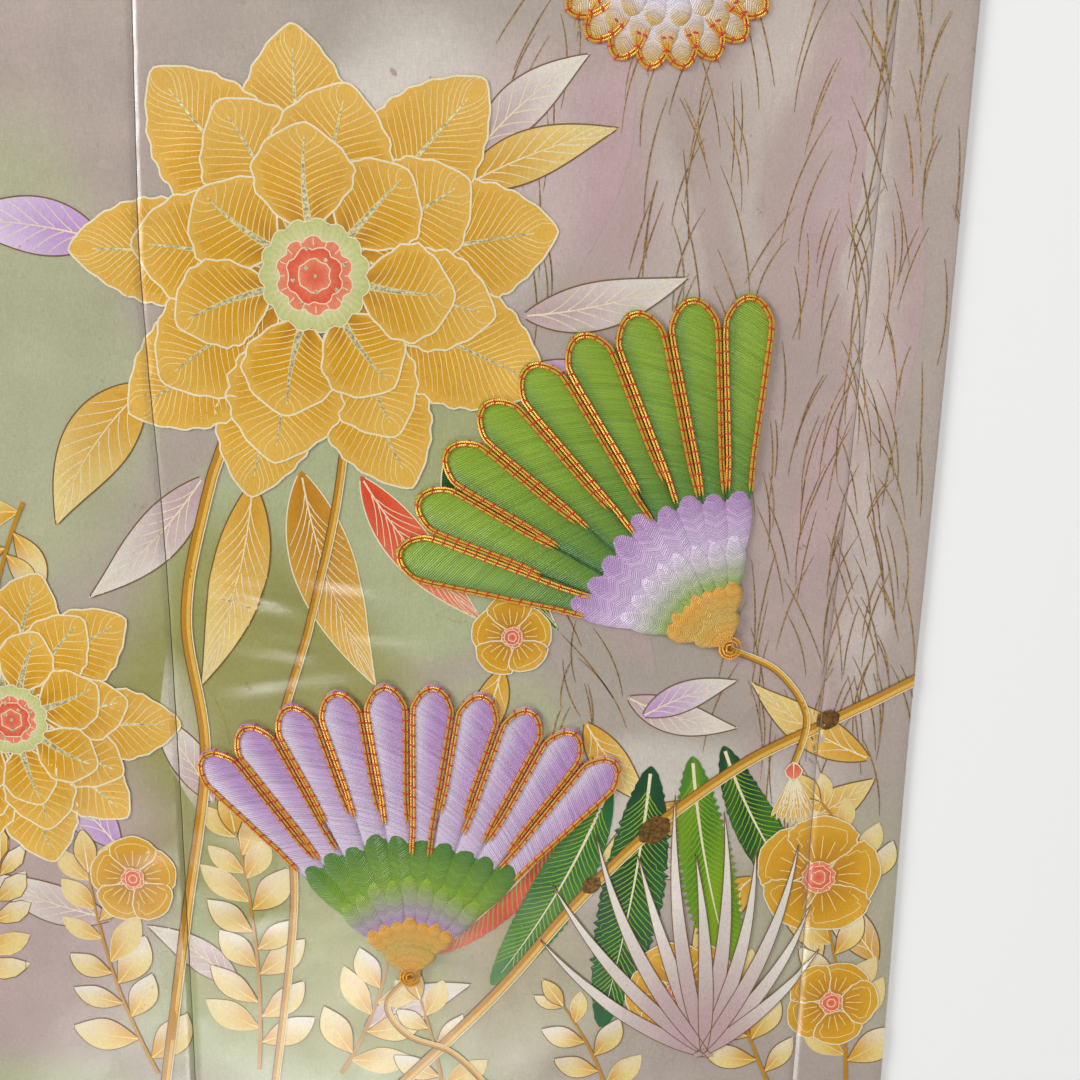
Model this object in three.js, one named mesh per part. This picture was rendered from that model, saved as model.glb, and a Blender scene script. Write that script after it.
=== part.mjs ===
// A furisode, the long-sleeved kimono, laid flat on its back with the left front closed over the right.
// Millimetres, +Z up. Inside the garment group y = 0 is the shoulder fold, the hem is at y = -LENGTH,
// and +x is the wearer's left, so the front that shows its whole width is on the +x side.
import * as THREE from 'three';

// Driving dimensions
const WALL = 1.0;             // silk and its backing, as one wall
const GAP = 0.3;              // clearance at seams and between layers
const LENGTH = 1650;          // shoulder fold to hem
const SHOULDER_HALF = 330;    // centre back to the sleeve seam
const UNDERARM_HALF = 308;    // centre back to the side edge where the side seam starts
const BACK_WIDTH = 312;       // centre back seam to side seam, below the waist
const SLEEVE_WIDTH = 340;
const SLEEVE_LENGTH = 1080;
const SLEEVE_CORNER = 80;     // rounded lower corner of the sleeve
const CUFF_HEIGHT = 230;
const NECK_HALF = 82;
const NECK_DROP = 25;         // the back neckline lies this far below the shoulder fold
const COLLAR_WIDTH = 55;
const COLLAR_END = -820;      // lower end of the collar
const OVER_COLLAR_END = -388; // lower end of the over-collar
const OVERLAP_TIP = -230;     // upper point of the overlap panel
const SIDE_SEAM_TOP = -375;
const SIDE_FOLD_DONE = -418;  // from here down the back lies folded over onto the front

// Worked out from them
const PITCH = WALL + GAP;
const HALF_GAP = GAP / 2;
const FOLD_OUT = WALL + HALF_GAP;           // outer radius of a fold in the cloth
const FOLD_IN = HALF_GAP;
const COLLAR_THICK = 2 * WALL + GAP;
const OVER_THICK = COLLAR_THICK + PITCH;    // collar and over-collar together
const SLEEVE_X = SHOULDER_HALF + HALF_GAP;
const COLLAR_TOP_Y = 12.2;                  // top of the collar behind the neck

// Hand-placed outlines, each row a height y and the x there
const COLLAR_SEAM = [
  { y: 0, x: 82.2 }, { y: -60, x: 82 }, { y: -120, x: 80 }, { y: -230, x: 62 },
  { y: -330, x: 32 }, { y: -600, x: -58 }, { y: -820, x: -131 },
];
const OVERLAP_SEAM = [
  { y: -230, x: 62 }, { y: -600, x: 32 }, { y: -900, x: 7 },
  { y: -1195, x: -10 }, { y: -1320, x: -8.5 }, { y: -1450, x: -9.5 }, { y: -1650, x: -13 },
];
const OVERLAP_EDGE = [
  { y: -820, x: -131 }, { y: -1250, x: -152 }, { y: -1650, x: -168 },
];
const SIDE_FOLD = [
  { y: -375, x: 300 }, { y: -418, x: 298.5 }, { y: -800, x: 291 },
  { y: -1195, x: 282.2 }, { y: -1320, x: 279 }, { y: -1400, x: 276.6 },
  { y: -1520, x: 275.4 }, { y: -1650, x: 273 },
];

// Soft folds in the cloth: centre, direction in degrees, half length, half width, height
const FRONT_FOLDS = [
  { x: 190, y: -560, turn: 74, half: 230, spread: 46, rise: 2.4 },
  { x: 120, y: -900, turn: 96, half: 210, spread: 55, rise: 1.7 },
  { x: 215, y: -1010, turn: 84, half: 160, spread: 34, rise: 1.3 },
  { x: 60, y: -1590, turn: 12, half: 120, spread: 40, rise: 1.6 },
  { x: 225, y: -250, turn: 60, half: 150, spread: 45, rise: 2.2 },
  { x: -80, y: -1100, turn: 84, half: 260, spread: 42, rise: 1.5 },
  { x: -90, y: -1560, turn: 64, half: 110, spread: 36, rise: 1.4 },
];
const SLEEVE_FOLDS = [
  { x: 470, y: -420, turn: 82, half: 260, spread: 48, rise: 2.6 },
  { x: 596, y: -560, turn: 97, half: 200, spread: 56, rise: 2.0 },
  { x: 384, y: -900, turn: 84, half: 150, spread: 40, rise: 1.6 },
  { x: 672, y: -120, turn: 90, half: 105, spread: 60, rise: 5.0 },
  { x: 328, y: -640, turn: 90, half: 320, spread: 46, rise: 3.0 },
];

// The collar round the neck, from its left front to the centre back: where its base stands,
// how far it is lifted from lying flat, and how far its width has turned from inward to upward
const NECK = [
  { y: -120, x: 79.7, lift: 0, turn: 0 },
  { y: -104, x: 80.4, lift: 8, turn: 1 },
  { y: -88, x: 80.9, lift: 20, turn: 3 },
  { y: -72, x: 81.3, lift: 35, turn: 6 },
  { y: -57, x: 81.6, lift: 52, turn: 12 },
  { y: -44, x: 81.6, lift: 68, turn: 22 },
  { y: -33, x: 80.8, lift: 80, turn: 36 },
  { y: -27, x: 76.6, lift: 83, turn: 52 },
  { y: -24.5, x: 68.0, lift: 77, turn: 66 },
  { y: -25, x: 55.0, lift: 67, turn: 78 },
  { y: -27.4, x: 30.0, lift: 53, turn: 87 },
  { y: -28.6, x: 0.0, lift: 47, turn: 90 },
];

// Embroidered slatted fans, raised on the cloth: pivot, reach, first and last angle, slats
const FANS = {
  fan_green: { x: 205, y: -1356, reach: 132, from: 84, to: 168, slats: 9 },
  fan_lilac: { x: 80, y: -1494, reach: 124, from: 44, to: 134, slats: 10 },
  fan_sleeve_left: { x: 535, y: -945, reach: 150, from: 50, to: 130, slats: 9 },
  fan_sleeve_right: { x: 540, y: -925, reach: 150, from: 58, to: 138, slats: 9 },
};
const FAN_HUB = 16;        // radius where the slats start
const FAN_VALLEY = 0.7;    // thickness between two slats
const FAN_RIDGE = 1.7;     // thickness along the middle of a slat
const FAN_NOTCH = 12;      // how far the gap between two tips cuts in

const SILK = { color: 0xd8c6c0, roughness: 0.5, metalness: 0 };
const FINISH = {
  silk: SILK,
  overlap: { ...SILK, color: 0xd3c2b4 },
  sleeve: { ...SILK, color: 0xd9cdbb },
  collar: { ...SILK, color: 0xdccbc8 },
  green: { color: 0x6f9a2e, roughness: 0.45, metalness: 0 },
  lilac: { color: 0xc9b4d4, roughness: 0.45, metalness: 0 },
};

const radians = THREE.MathUtils.degToRad;
const step01 = (low, high, t) => THREE.MathUtils.smoothstep(t, low, high);

// The x of a hand-placed outline at a height, smooth through its rows
function along(rows, y) {
  const last = rows.length - 1;
  let i = 0;
  while (i < last - 1 && y < rows[i + 1].y) i += 1;
  const a = rows[i];
  const b = rows[i + 1];
  const t = THREE.MathUtils.clamp((y - a.y) / (b.y - a.y), 0, 1);
  const before = rows[Math.max(i - 1, 0)];
  const after = rows[Math.min(i + 2, last)];
  const rate = (p, q) => (q.y === p.y ? 0 : (q.x - p.x) / (q.y - p.y));
  const ma = rate(before, b) * (b.y - a.y);
  const mb = rate(a, after) * (b.y - a.y);
  const t2 = t * t;
  const t3 = t2 * t;
  return (2 * t3 - 3 * t2 + 1) * a.x + (t3 - 2 * t2 + t) * ma
    + (3 * t2 - 2 * t3) * b.x + (t3 - t2) * mb;
}

function foldHeight(folds, x, y) {
  let height = 0;
  for (const f of folds) {
    const a = radians(f.turn);
    const dx = x - f.x;
    const dy = y - f.y;
    const lengthwise = (dx * Math.cos(a) + dy * Math.sin(a)) / f.half;
    const across = (dy * Math.cos(a) - dx * Math.sin(a)) / f.spread;
    if (Math.abs(lengthwise) < 1 && Math.abs(across) < 1) {
      const shape = Math.cos(lengthwise * Math.PI / 2) * Math.cos(across * Math.PI / 2);
      height += f.rise * shape * shape;
    }
  }
  return height;
}

// Outlines used on both sides
const collarSeam = (y) => along(COLLAR_SEAM, y);
const collarFold = (y) => collarSeam(y) - COLLAR_WIDTH;
const overlapSeam = (y) => along(OVERLAP_SEAM, y);
const sideFold = (y) => along(SIDE_FOLD, y);
const sideSeam = (y) => 2 * sideFold(y) - BACK_WIDTH;

// Underside height of the left front, which rises over the right front, its collar and over-collar
const COVER_STARTS = 150;   // below the shoulder, where the fronts begin to lie over each other
const COVER_FULL = 215;
const BESIDE_COLLAR = 45;   // how far past a collar below it the cloth stays raised
const BESIDE_EDGE = 25;     // and past the plain front edge
const SLOPE_RUN = 38;       // width of the slope down to the next layer
const endsBelow = (end, y) => step01(end - 140, end - 66, y);
function leftLevel(x, y) {
  const started = step01(COVER_STARTS, COVER_FULL, -y);
  const low = Math.max(y, COLLAR_END);
  const pastCollar = BESIDE_COLLAR - collarFold(low);
  const pastEdge = BESIDE_EDGE - along(OVERLAP_EDGE, y);
  const collarThere = endsBelow(COLLAR_END, y);
  const covered = y > COLLAR_END ? pastCollar : THREE.MathUtils.lerp(pastEdge, pastCollar, collarThere);
  const panel = 1 - step01(covered, covered + SLOPE_RUN, x);
  const farSide = -collarSeam(low) - BESIDE_COLLAR;
  const strip = collarThere * (1 - step01(pastCollar, pastCollar + SLOPE_RUN, x))
    * step01(farSide - SLOPE_RUN, farSide, x);
  const layers = panel + strip + strip * endsBelow(OVER_COLLAR_END, y);
  return PITCH + PITCH * started * layers;
}

// The cloth lies without folds near the shoulder
const calm = (y) => step01(70, 190, -y);
const leftFront = (x, y) => leftLevel(x, y) + foldHeight(FRONT_FOLDS, x, y) * calm(y);
// On the right the same folds lie mirrored, a little lower, only where the left front doesn't cover them
const RIGHT_SHARE = 0.8;
const rightFront = (x, y) => PITCH
  + foldHeight(FRONT_FOLDS, x, y) * calm(y) * RIGHT_SHARE * step01(165, 235, x);
const sleeveFront = (x, y) => PITCH + foldHeight(SLEEVE_FOLDS, x, y)
  * step01(0, 60, -y) * step01(0, 50, y + SLEEVE_LENGTH);

// One closed body from a grid: at(row, column, side) gives its inner and outer points
function closedGrid(rows, columns, at) {
  const positions = [];
  for (let side = 0; side < 2; side += 1) {
    for (let r = 0; r < rows; r += 1) {
      for (let c = 0; c < columns; c += 1) positions.push(...at(r, c, side));
    }
  }
  const id = (r, c, side) => side * rows * columns + r * columns + c;
  const index = [];
  const quad = (a, b, c, d) => index.push(a, b, c, a, c, d);
  for (let r = 0; r < rows - 1; r += 1) {
    for (let c = 0; c < columns - 1; c += 1) {
      quad(id(r, c, 1), id(r, c + 1, 1), id(r + 1, c + 1, 1), id(r + 1, c, 1));
      quad(id(r, c, 0), id(r + 1, c, 0), id(r + 1, c + 1, 0), id(r, c + 1, 0));
    }
  }
  for (let r = 0; r < rows - 1; r += 1) {
    quad(id(r, 0, 0), id(r, 0, 1), id(r + 1, 0, 1), id(r + 1, 0, 0));
    const c = columns - 1;
    quad(id(r, c, 0), id(r + 1, c, 0), id(r + 1, c, 1), id(r, c, 1));
  }
  for (let c = 0; c < columns - 1; c += 1) {
    quad(id(0, c, 0), id(0, c + 1, 0), id(0, c + 1, 1), id(0, c, 1));
    const r = rows - 1;
    quad(id(r, c, 0), id(r, c, 1), id(r, c + 1, 1), id(r, c + 1, 0));
  }
  return facingOut(positions, index);
}

// Turns every face round if they point inward
function facingOut(positions, index) {
  let volume = 0;
  const p = (i) => new THREE.Vector3(...positions.slice(3 * i, 3 * i + 3));
  for (let i = 0; i < index.length; i += 3) {
    volume += p(index[i]).dot(p(index[i + 1]).cross(p(index[i + 2])));
  }
  if (volume < 0) index.reverse();
  const geometry = new THREE.BufferGeometry();
  geometry.setAttribute('position', new THREE.Float32BufferAttribute(positions, 3));
  geometry.setIndex(index);
  geometry.computeVertexNormals();
  return geometry;
}

function piece(name, geometry, finish) {
  const mesh = new THREE.Mesh(geometry, new THREE.MeshStandardMaterial(finish));
  mesh.name = name;
  return mesh;
}

// Evenly spaced heights from one to another, about so far apart
function heights(from, to, spacing) {
  const count = Math.max(1, Math.round(Math.abs(to - from) / spacing));
  return Array.from({ length: count }, (_, i) => from + (to - from) * i / count);
}

// Heights shared by all edges that meet in a seam, so that they stay evenly apart
const SIDE_ROLL = [-406, -397, -388, -379];
const LOWER_ROWS = [...heights(-LENGTH, COLLAR_END, 83), ...heights(COLLAR_END, SIDE_FOLD_DONE, 80)];
const CHEST_ROWS = [SIDE_FOLD_DONE, ...SIDE_ROLL, SIDE_SEAM_TOP, -330, -280, OVERLAP_TIP - 14];
const UPPER_ROWS = [OVERLAP_TIP, -190, -155, -120];

// Rows over the shoulder: front from the hem up, the fold, and the back down to the hem
const FOLD_STEPS = [45, 90, 135];
function overShoulder(front, back) {
  return [
    ...front.map((y) => ({ part: 'front', y })),
    ...FOLD_STEPS.map((turn) => ({ part: 'fold', turn: radians(turn) })),
    ...back.map((y) => ({ part: 'back', y })),
  ];
}

// Inner and outer points on the shoulder fold
function foldPoint(x, turn, side) {
  const r = side ? FOLD_OUT : FOLD_IN;
  return [x, -FOLD_OUT + r * Math.sin(turn), FOLD_OUT + r * Math.cos(turn)];
}

// Side edge above the side seam, along the sleeve and the open side below it
function openSide(y) {
  const t = step01(0, -SIDE_SEAM_TOP, -y);
  return THREE.MathUtils.lerp(SHOULDER_HALF - HALF_GAP, UNDERARM_HALF, t);
}

// Side edge of the front, which draws in quickly where the side seam starts
const TUCK_RUN = 14;
function frontSide(y) {
  const tuck = step01(-SIDE_SEAM_TOP, -SIDE_SEAM_TOP + TUCK_RUN, -y);
  const seam = sideSeam(Math.min(y, SIDE_FOLD_DONE)) - HALF_GAP;
  return THREE.MathUtils.lerp(openSide(y), seam, tuck);
}

// Back of the body at a height: it lies flat, bends up round the side and ends in a flap on the front
const BEND = Math.PI * (FOLD_IN + WALL / 2);   // length of cloth in the side fold
const FLAT_COLUMNS = 6;
const BEND_COLUMNS = 3;
const BODY_COLUMNS = FLAT_COLUMNS + BEND_COLUMNS + 2;
function backPoint(y, column, side) {
  const neck = y > -NECK_DROP ? NECK_HALF * Math.sqrt(1 - (y / NECK_DROP) ** 2) : 0;
  const inner = Math.max(neck, HALF_GAP);
  const angle = Math.PI * step01(-SIDE_ROLL[3], -SIDE_FOLD_DONE, -y);
  const folded = sideFold(Math.min(y, SIDE_FOLD_DONE));
  const flap = BACK_WIDTH - folded - FOLD_OUT;
  const open = openSide(y) - BEND - flap;
  const hinge = THREE.MathUtils.lerp(open, folded - FOLD_OUT, angle / Math.PI);
  if (column <= FLAT_COLUMNS) {
    const x = inner + (hinge - inner) * column / FLAT_COLUMNS;
    return [x, y, side ? 0 : WALL];
  }
  const bent = Math.min((column - FLAT_COLUMNS) / BEND_COLUMNS, 1);
  const turn = angle * bent;
  const radius = BEND / Math.max(angle, 1e-6);
  const arc = angle < 1e-5 ? [BEND * bent, 0]
    : [radius * Math.sin(turn), radius * (1 - Math.cos(turn))];
  const run = column - FLAT_COLUMNS > BEND_COLUMNS ? flap : 0;
  const off = (side ? -1 : 1) * WALL / 2;
  return [
    hinge + arc[0] + run * Math.cos(turn) - off * Math.sin(turn),
    y,
    WALL / 2 + arc[1] + run * Math.sin(turn) + off * Math.cos(turn),
  ];
}

const BODY_FRONT_ROWS = [...LOWER_ROWS, ...CHEST_ROWS, ...UPPER_ROWS, -80, -45, -20, -FOLD_OUT];
function bodyFrontX(y, share) {
  const inner = y > OVERLAP_TIP ? collarSeam(y) : overlapSeam(y);
  return THREE.MathUtils.lerp(inner + HALF_GAP, frontSide(y), share);
}

// One body panel runs from the front hem over the shoulder to the back hem
function bodyPanel(name, sign, level) {
  const back = [
    -FOLD_OUT, -9, -16, -21, -24, -NECK_DROP, -130, -260, SIDE_SEAM_TOP,
    ...[...LOWER_ROWS, SIDE_FOLD_DONE, ...SIDE_ROLL].reverse(),
  ];
  const rows = overShoulder(BODY_FRONT_ROWS, back);
  const geometry = closedGrid(rows.length, BODY_COLUMNS, (r, c, side) => {
    const row = rows[r];
    const share = c / (BODY_COLUMNS - 1);
    if (row.part === 'fold') {
      const x = THREE.MathUtils.lerp(NECK_HALF, SHOULDER_HALF - HALF_GAP, share);
      const [, y, z] = foldPoint(x, row.turn, side);
      return [sign * x, y, z];
    }
    if (row.part === 'front') {
      const x = bodyFrontX(row.y, share);
      return [sign * x, row.y, level(x, row.y) + (side ? WALL : 0)];
    }
    const [x, y, z] = backPoint(row.y, c, side);
    return [sign * x, y, z];
  });
  return piece(name, geometry, FINISH.silk);
}

// Overlap panel, from the hem up to its point under the collar
const OVERLAP_COLUMNS = 5;
function overlapPanel(name, sign, level) {
  const ys = [...LOWER_ROWS, ...CHEST_ROWS];
  const geometry = closedGrid(ys.length, OVERLAP_COLUMNS, (r, c, side) => {
    const y = ys[r];
    const free = y > COLLAR_END ? collarSeam(y) + HALF_GAP : along(OVERLAP_EDGE, y);
    const x = THREE.MathUtils.lerp(free, overlapSeam(y) - HALF_GAP, c / (OVERLAP_COLUMNS - 1));
    return [sign * x, y, level(x, y) + (side ? WALL : 0)];
  });
  return piece(name, geometry, FINISH.overlap);
}

// Sleeve: one piece folded at the shoulder, its lower outer corner rounded
const SLEEVE_COLUMNS = 8;
const CORNER_ROWS = [0, 6, 18, 36, 58, 80].map((rise) => -SLEEVE_LENGTH + rise);
const SLEEVE_FRONT_ROWS = [
  ...CORNER_ROWS, ...heights(-SLEEVE_LENGTH + 150, -CUFF_HEIGHT, 86), -CUFF_HEIGHT,
  -175, -120, -65, -25, -FOLD_OUT,
];
function sleeveX(y, share) {
  const rise = Math.min(y + SLEEVE_LENGTH, SLEEVE_CORNER);
  const inset = SLEEVE_CORNER - Math.sqrt(SLEEVE_CORNER ** 2 - (SLEEVE_CORNER - rise) ** 2);
  return SLEEVE_X + (SLEEVE_WIDTH - inset) * share;
}
function sleeve(name, sign) {
  const back = [-FOLD_OUT, -CUFF_HEIGHT, -600, ...[...CORNER_ROWS].reverse()];
  const rows = overShoulder(SLEEVE_FRONT_ROWS, back);
  const geometry = closedGrid(rows.length, SLEEVE_COLUMNS, (r, c, side) => {
    const row = rows[r];
    const y = row.part === 'fold' ? 0 : row.y;
    const x = sleeveX(y, c / (SLEEVE_COLUMNS - 1));
    if (row.part === 'fold') {
      const [, fy, z] = foldPoint(x, row.turn, side);
      return [sign * x, fy, z];
    }
    if (row.part === 'front') return [sign * x, y, sleeveFront(x, y) + (side ? WALL : 0)];
    return [sign * x, y, side ? 0 : WALL];
  });
  return piece(name, geometry, FINISH.sleeve);
}

// Stations along the collar: its base point, the way its width runs, and whether it lies flat
function collarStations(end) {
  const left = [...LOWER_ROWS, ...CHEST_ROWS, ...UPPER_ROWS]
    .filter((y) => y >= end && y < NECK[0].y)
    .map((y) => ({ x: collarSeam(y) - HALF_GAP, y, lift: 0, turn: 0 }));
  const half = [...left, ...NECK];
  const right = half.slice(0, -1).reverse().map((s) => ({ ...s, x: -s.x, mirrored: true }));
  const path = [...half, ...right];
  return path.map((s, i) => {
    const a = path[Math.max(i - 1, 0)];
    const b = path[Math.min(i + 1, path.length - 1)];
    const tangent = new THREE.Vector3(b.x - a.x, b.y - a.y, 0).normalize();
    const sign = s.mirrored ? -1 : 1;
    const lift = radians(s.lift);
    const turn = radians(s.turn);
    const lying = new THREE.Vector3(-tangent.y, tangent.x, 0);
    const rising = new THREE.Vector3(-sign * Math.cos(turn), Math.sin(turn), 0);
    const plan = lying.lerp(rising, s.lift > 0 ? 1 : 0).normalize();
    const width = plan.multiplyScalar(Math.cos(lift)).add(new THREE.Vector3(0, 0, Math.sin(lift)));
    const out = new THREE.Vector3().crossVectors(tangent, width).normalize();
    const outward = Math.max(0, sign * out.x) * OVER_THICK * (Math.abs(s.y) > 30 ? 1 : 0);
    return {
      base: new THREE.Vector3(s.x - sign * outward, s.y, PITCH + OVER_THICK * Math.max(0, -out.z)),
      width, out, flat: 1 - step01(0, 30, s.lift), mirrored: Boolean(s.mirrored),
    };
  });
}

// A band of one section swept along the collar's stations
function band(name, stations, section, finish) {
  const positions = [];
  for (const s of stations) {
    const level = s.mirrored ? (x, y) => rightFront(-x, y) : leftFront;
    for (const [across, up] of section) {
      const p = s.base.clone().addScaledVector(s.width, across).addScaledVector(s.out, up);
      p.z += (level(p.x, p.y) - PITCH) * s.flat;
      positions.push(p.x, p.y, p.z);
    }
  }
  const n = section.length;
  const index = [];
  for (let i = 0; i < stations.length - 1; i += 1) {
    for (let j = 0; j < n; j += 1) {
      const k = (j + 1) % n;
      const a = i * n + j;
      const b = i * n + k;
      // one diagonal on all faces of a side, so that faces over each other stay apart where they twist
      if (section[k][0] > section[j][0] !== stations[i].mirrored) index.push(a, b, b + n, a, b + n, a + n);
      else index.push(a, b, a + n, b, b + n, a + n);
    }
  }
  const cap = THREE.ShapeUtils.triangulateShape(section.map((p) => new THREE.Vector2(...p)), []);
  const anticlockwise = THREE.ShapeUtils.area(section.map((p) => new THREE.Vector2(...p))) > 0;
  const last = (stations.length - 1) * n;
  for (const [a, b, c] of cap) {
    if (anticlockwise) {
      index.push(a, c, b, last + a, last + b, last + c);
    } else {
      index.push(a, b, c, last + a, last + c, last + b);
    }
  }
  return piece(name, facingOut(positions, index), finish);
}

// The collar is a strip folded lengthwise, its fold on the inner edge of the opening
function collar() {
  const w = COLLAR_WIDTH - FOLD_OUT;
  const mid = COLLAR_WIDTH / 2;
  const t = COLLAR_THICK;
  const section = [
    [0, 0], [mid, 0], [w, 0], [COLLAR_WIDTH - 0.3, 0.4], [COLLAR_WIDTH, t / 2],
    [COLLAR_WIDTH - 0.3, t - 0.4], [w, t], [mid, t], [0, t],
    [0, t - WALL], [mid, t - WALL], [w, t - WALL], [w, WALL], [mid, WALL], [0, WALL],
  ];
  return band('collar', collarStations(COLLAR_END), section, FINISH.collar);
}

// The over-collar covers the collar's outer face and goes round its fold
function overCollar() {
  const t = COLLAR_THICK + GAP;
  const inner = COLLAR_WIDTH + GAP;
  const outer = inner + WALL;
  const section = [
    [0, t], [COLLAR_WIDTH / 2, t], [inner, t], [inner, 0], [outer, 0],
    [outer, t + WALL - 0.4], [outer - 0.4, t + WALL], [COLLAR_WIDTH / 2, t + WALL], [0, t + WALL],
  ];
  return band('over_collar', collarStations(OVER_COLLAR_END), section, FINISH.collar);
}

// Height of a panel's own faces under a point, for what lies on that panel
function faceHeight(ys, columns, xAt, level) {
  const corner = (r, c) => {
    const x = xAt(ys[r], c / (columns - 1));
    return { x, z: level(x, ys[r]) };
  };
  return (x, y) => {
    let r = 0;
    while (r < ys.length - 2 && ys[r + 1] < y) r += 1;
    const t = (y - ys[r]) / (ys[r + 1] - ys[r]);
    const edge = (c) => THREE.MathUtils.lerp(corner(r, c).x, corner(r + 1, c).x, t);
    let c = 0;
    while (c < columns - 2 && edge(c + 1) < x) c += 1;
    const s = (x - edge(c)) / (edge(c + 1) - edge(c));
    const a = corner(r, c).z;
    const b = corner(r, c + 1).z;
    const d = corner(r + 1, c).z;
    const e = corner(r + 1, c + 1).z;
    return s >= t ? a + s * (b - a) + t * (e - b) : a + t * (d - a) + s * (e - d);
  };
}
const onBodyLeft = faceHeight(BODY_FRONT_ROWS, BODY_COLUMNS, bodyFrontX, leftFront);
const onSleeve = faceHeight(SLEEVE_FRONT_ROWS, SLEEVE_COLUMNS, sleeveX, sleeveFront);

// A raised fan: slats side by side, ridged along their middles, with separate rounded tips
const FAN_ROWS = [0, 0.3, 0.62, 0.9, 1];
function fan(name, sign, under, finish) {
  const f = FANS[name];
  const columns = 2 * f.slats + 1;
  const geometry = closedGrid(FAN_ROWS.length, columns, (r, c, side) => {
    const onRidge = c % 2 === 1;
    const angle = radians(THREE.MathUtils.lerp(f.from, f.to, c / (columns - 1)));
    const tip = f.reach - (onRidge ? 0 : FAN_NOTCH);
    const radius = THREE.MathUtils.lerp(FAN_HUB, tip, FAN_ROWS[r]);
    const x = f.x + radius * Math.cos(angle);
    const y = f.y + radius * Math.sin(angle);
    const edge = r === 0 || r === FAN_ROWS.length - 1;
    const thick = onRidge && !edge ? FAN_RIDGE : FAN_VALLEY;
    return [sign * x, y, under(x, y) + WALL + GAP + (side ? thick : 0)];
  });
  return piece(name, geometry, finish);
}

const garment = new THREE.Group();
garment.add(
  bodyPanel('body_left', 1, leftFront),
  bodyPanel('body_right', -1, rightFront),
  overlapPanel('overlap_left', 1, leftFront),
  overlapPanel('overlap_right', -1, rightFront),
  sleeve('sleeve_left', 1),
  sleeve('sleeve_right', -1),
  collar(),
  overCollar(),
  fan('fan_green', 1, onBodyLeft, FINISH.green),
  fan('fan_lilac', 1, onBodyLeft, FINISH.lilac),
  fan('fan_sleeve_left', 1, onSleeve, FINISH.lilac),
  fan('fan_sleeve_right', -1, onSleeve, FINISH.green),
);
garment.position.y = (LENGTH - COLLAR_TOP_Y) / 2;

const furisode = new THREE.Group();
furisode.add(garment);

export default furisode;
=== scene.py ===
# A furisode laid flat on its back, left front over right, seen from close above its painted hem.
# Points are worked out in millimetres with y = 0 at the shoulder fold and +x the wearer's left,
# and become metres in the frame's axes when a mesh is made.
import math

import bmesh
import bpy
import numpy as np
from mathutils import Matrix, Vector


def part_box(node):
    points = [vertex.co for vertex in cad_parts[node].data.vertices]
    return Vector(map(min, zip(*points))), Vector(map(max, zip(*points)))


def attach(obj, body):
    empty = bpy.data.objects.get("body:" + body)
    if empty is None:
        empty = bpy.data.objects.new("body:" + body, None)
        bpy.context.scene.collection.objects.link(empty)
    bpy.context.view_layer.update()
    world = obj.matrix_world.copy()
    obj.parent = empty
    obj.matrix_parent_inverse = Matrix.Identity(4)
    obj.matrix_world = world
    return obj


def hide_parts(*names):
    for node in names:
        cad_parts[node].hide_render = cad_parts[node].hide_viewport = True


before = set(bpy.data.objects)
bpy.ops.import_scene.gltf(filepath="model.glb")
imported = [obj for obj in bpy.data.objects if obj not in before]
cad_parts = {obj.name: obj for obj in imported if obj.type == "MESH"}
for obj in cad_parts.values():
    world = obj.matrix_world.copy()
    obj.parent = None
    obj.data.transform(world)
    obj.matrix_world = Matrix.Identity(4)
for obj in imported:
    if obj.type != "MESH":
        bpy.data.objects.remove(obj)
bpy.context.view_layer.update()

MM = 0.001
SHOULDER_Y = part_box("body_left")[1][1] / MM
LENGTH = (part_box("body_left")[1][1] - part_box("body_left")[0][1]) / MM
WALL = 1.0
GAP = 0.3
PITCH = WALL + GAP
HALF_GAP = GAP / 2
FOLD_OUT = WALL + HALF_GAP
FOLD_IN = HALF_GAP
SHOULDER_HALF = 330
UNDERARM_HALF = 308
BACK_WIDTH = 312
SLEEVE_X = SHOULDER_HALF + HALF_GAP
SLEEVE_WIDTH = 340
SLEEVE_LENGTH = 1080
SLEEVE_CORNER = 80
NECK_HALF = 82
NECK_DROP = 25
COLLAR_WIDTH = 55
OVERLAP_WIDTH = 145
FLAP_WIDTH = 33
SEAM_TO_SEAM = 254             # width of a body panel's front between its seams
COLLAR_THICK = 2 * WALL + GAP
OVER_THICK = COLLAR_THICK + PITCH
COLLAR_END = -820
OVER_COLLAR_END = -388
OVERLAP_TIP = -230
SIDE_SEAM_TOP = -375
SIDE_FOLD_DONE = -418

# Outlines as rows of y and x
COLLAR_SEAM = [(0, 82.2), (-60, 82), (-120, 80), (-230, 62), (-330, 32), (-600, -58), (-820, -131)]
OVERLAP_SEAM = [
    (-230, 62), (-600, 32), (-900, 7), (-1195, -10), (-1320, -8.5), (-1450, -9.5), (-1650, -13),
]
OVERLAP_EDGE = [(-820, -131), (-1250, -152), (-1650, -168)]
SIDE_FOLD = [
    (-375, 300), (-418, 298.5), (-800, 291), (-1195, 282.2), (-1320, 279), (-1400, 276.6),
    (-1520, 275.4), (-1650, 273),
]

# Broad folds: x, y, direction in degrees, half length, half width, height
FRONT_FOLDS = [
    (190, -560, 74, 230, 46, 2.4), (120, -900, 96, 210, 55, 1.7), (215, -1010, 84, 160, 34, 1.3),
    (60, -1590, 12, 120, 40, 1.6), (225, -250, 60, 150, 45, 2.2), (-80, -1100, 84, 260, 42, 1.5),
    (-90, -1560, 64, 110, 36, 1.4),
]
SLEEVE_FOLDS = [
    (470, -420, 82, 260, 48, 2.6), (596, -560, 97, 200, 56, 2.0), (384, -900, 84, 150, 40, 1.6),
    (672, -120, 90, 105, 60, 5.0), (328, -640, 90, 320, 46, 3.0),
]
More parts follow.
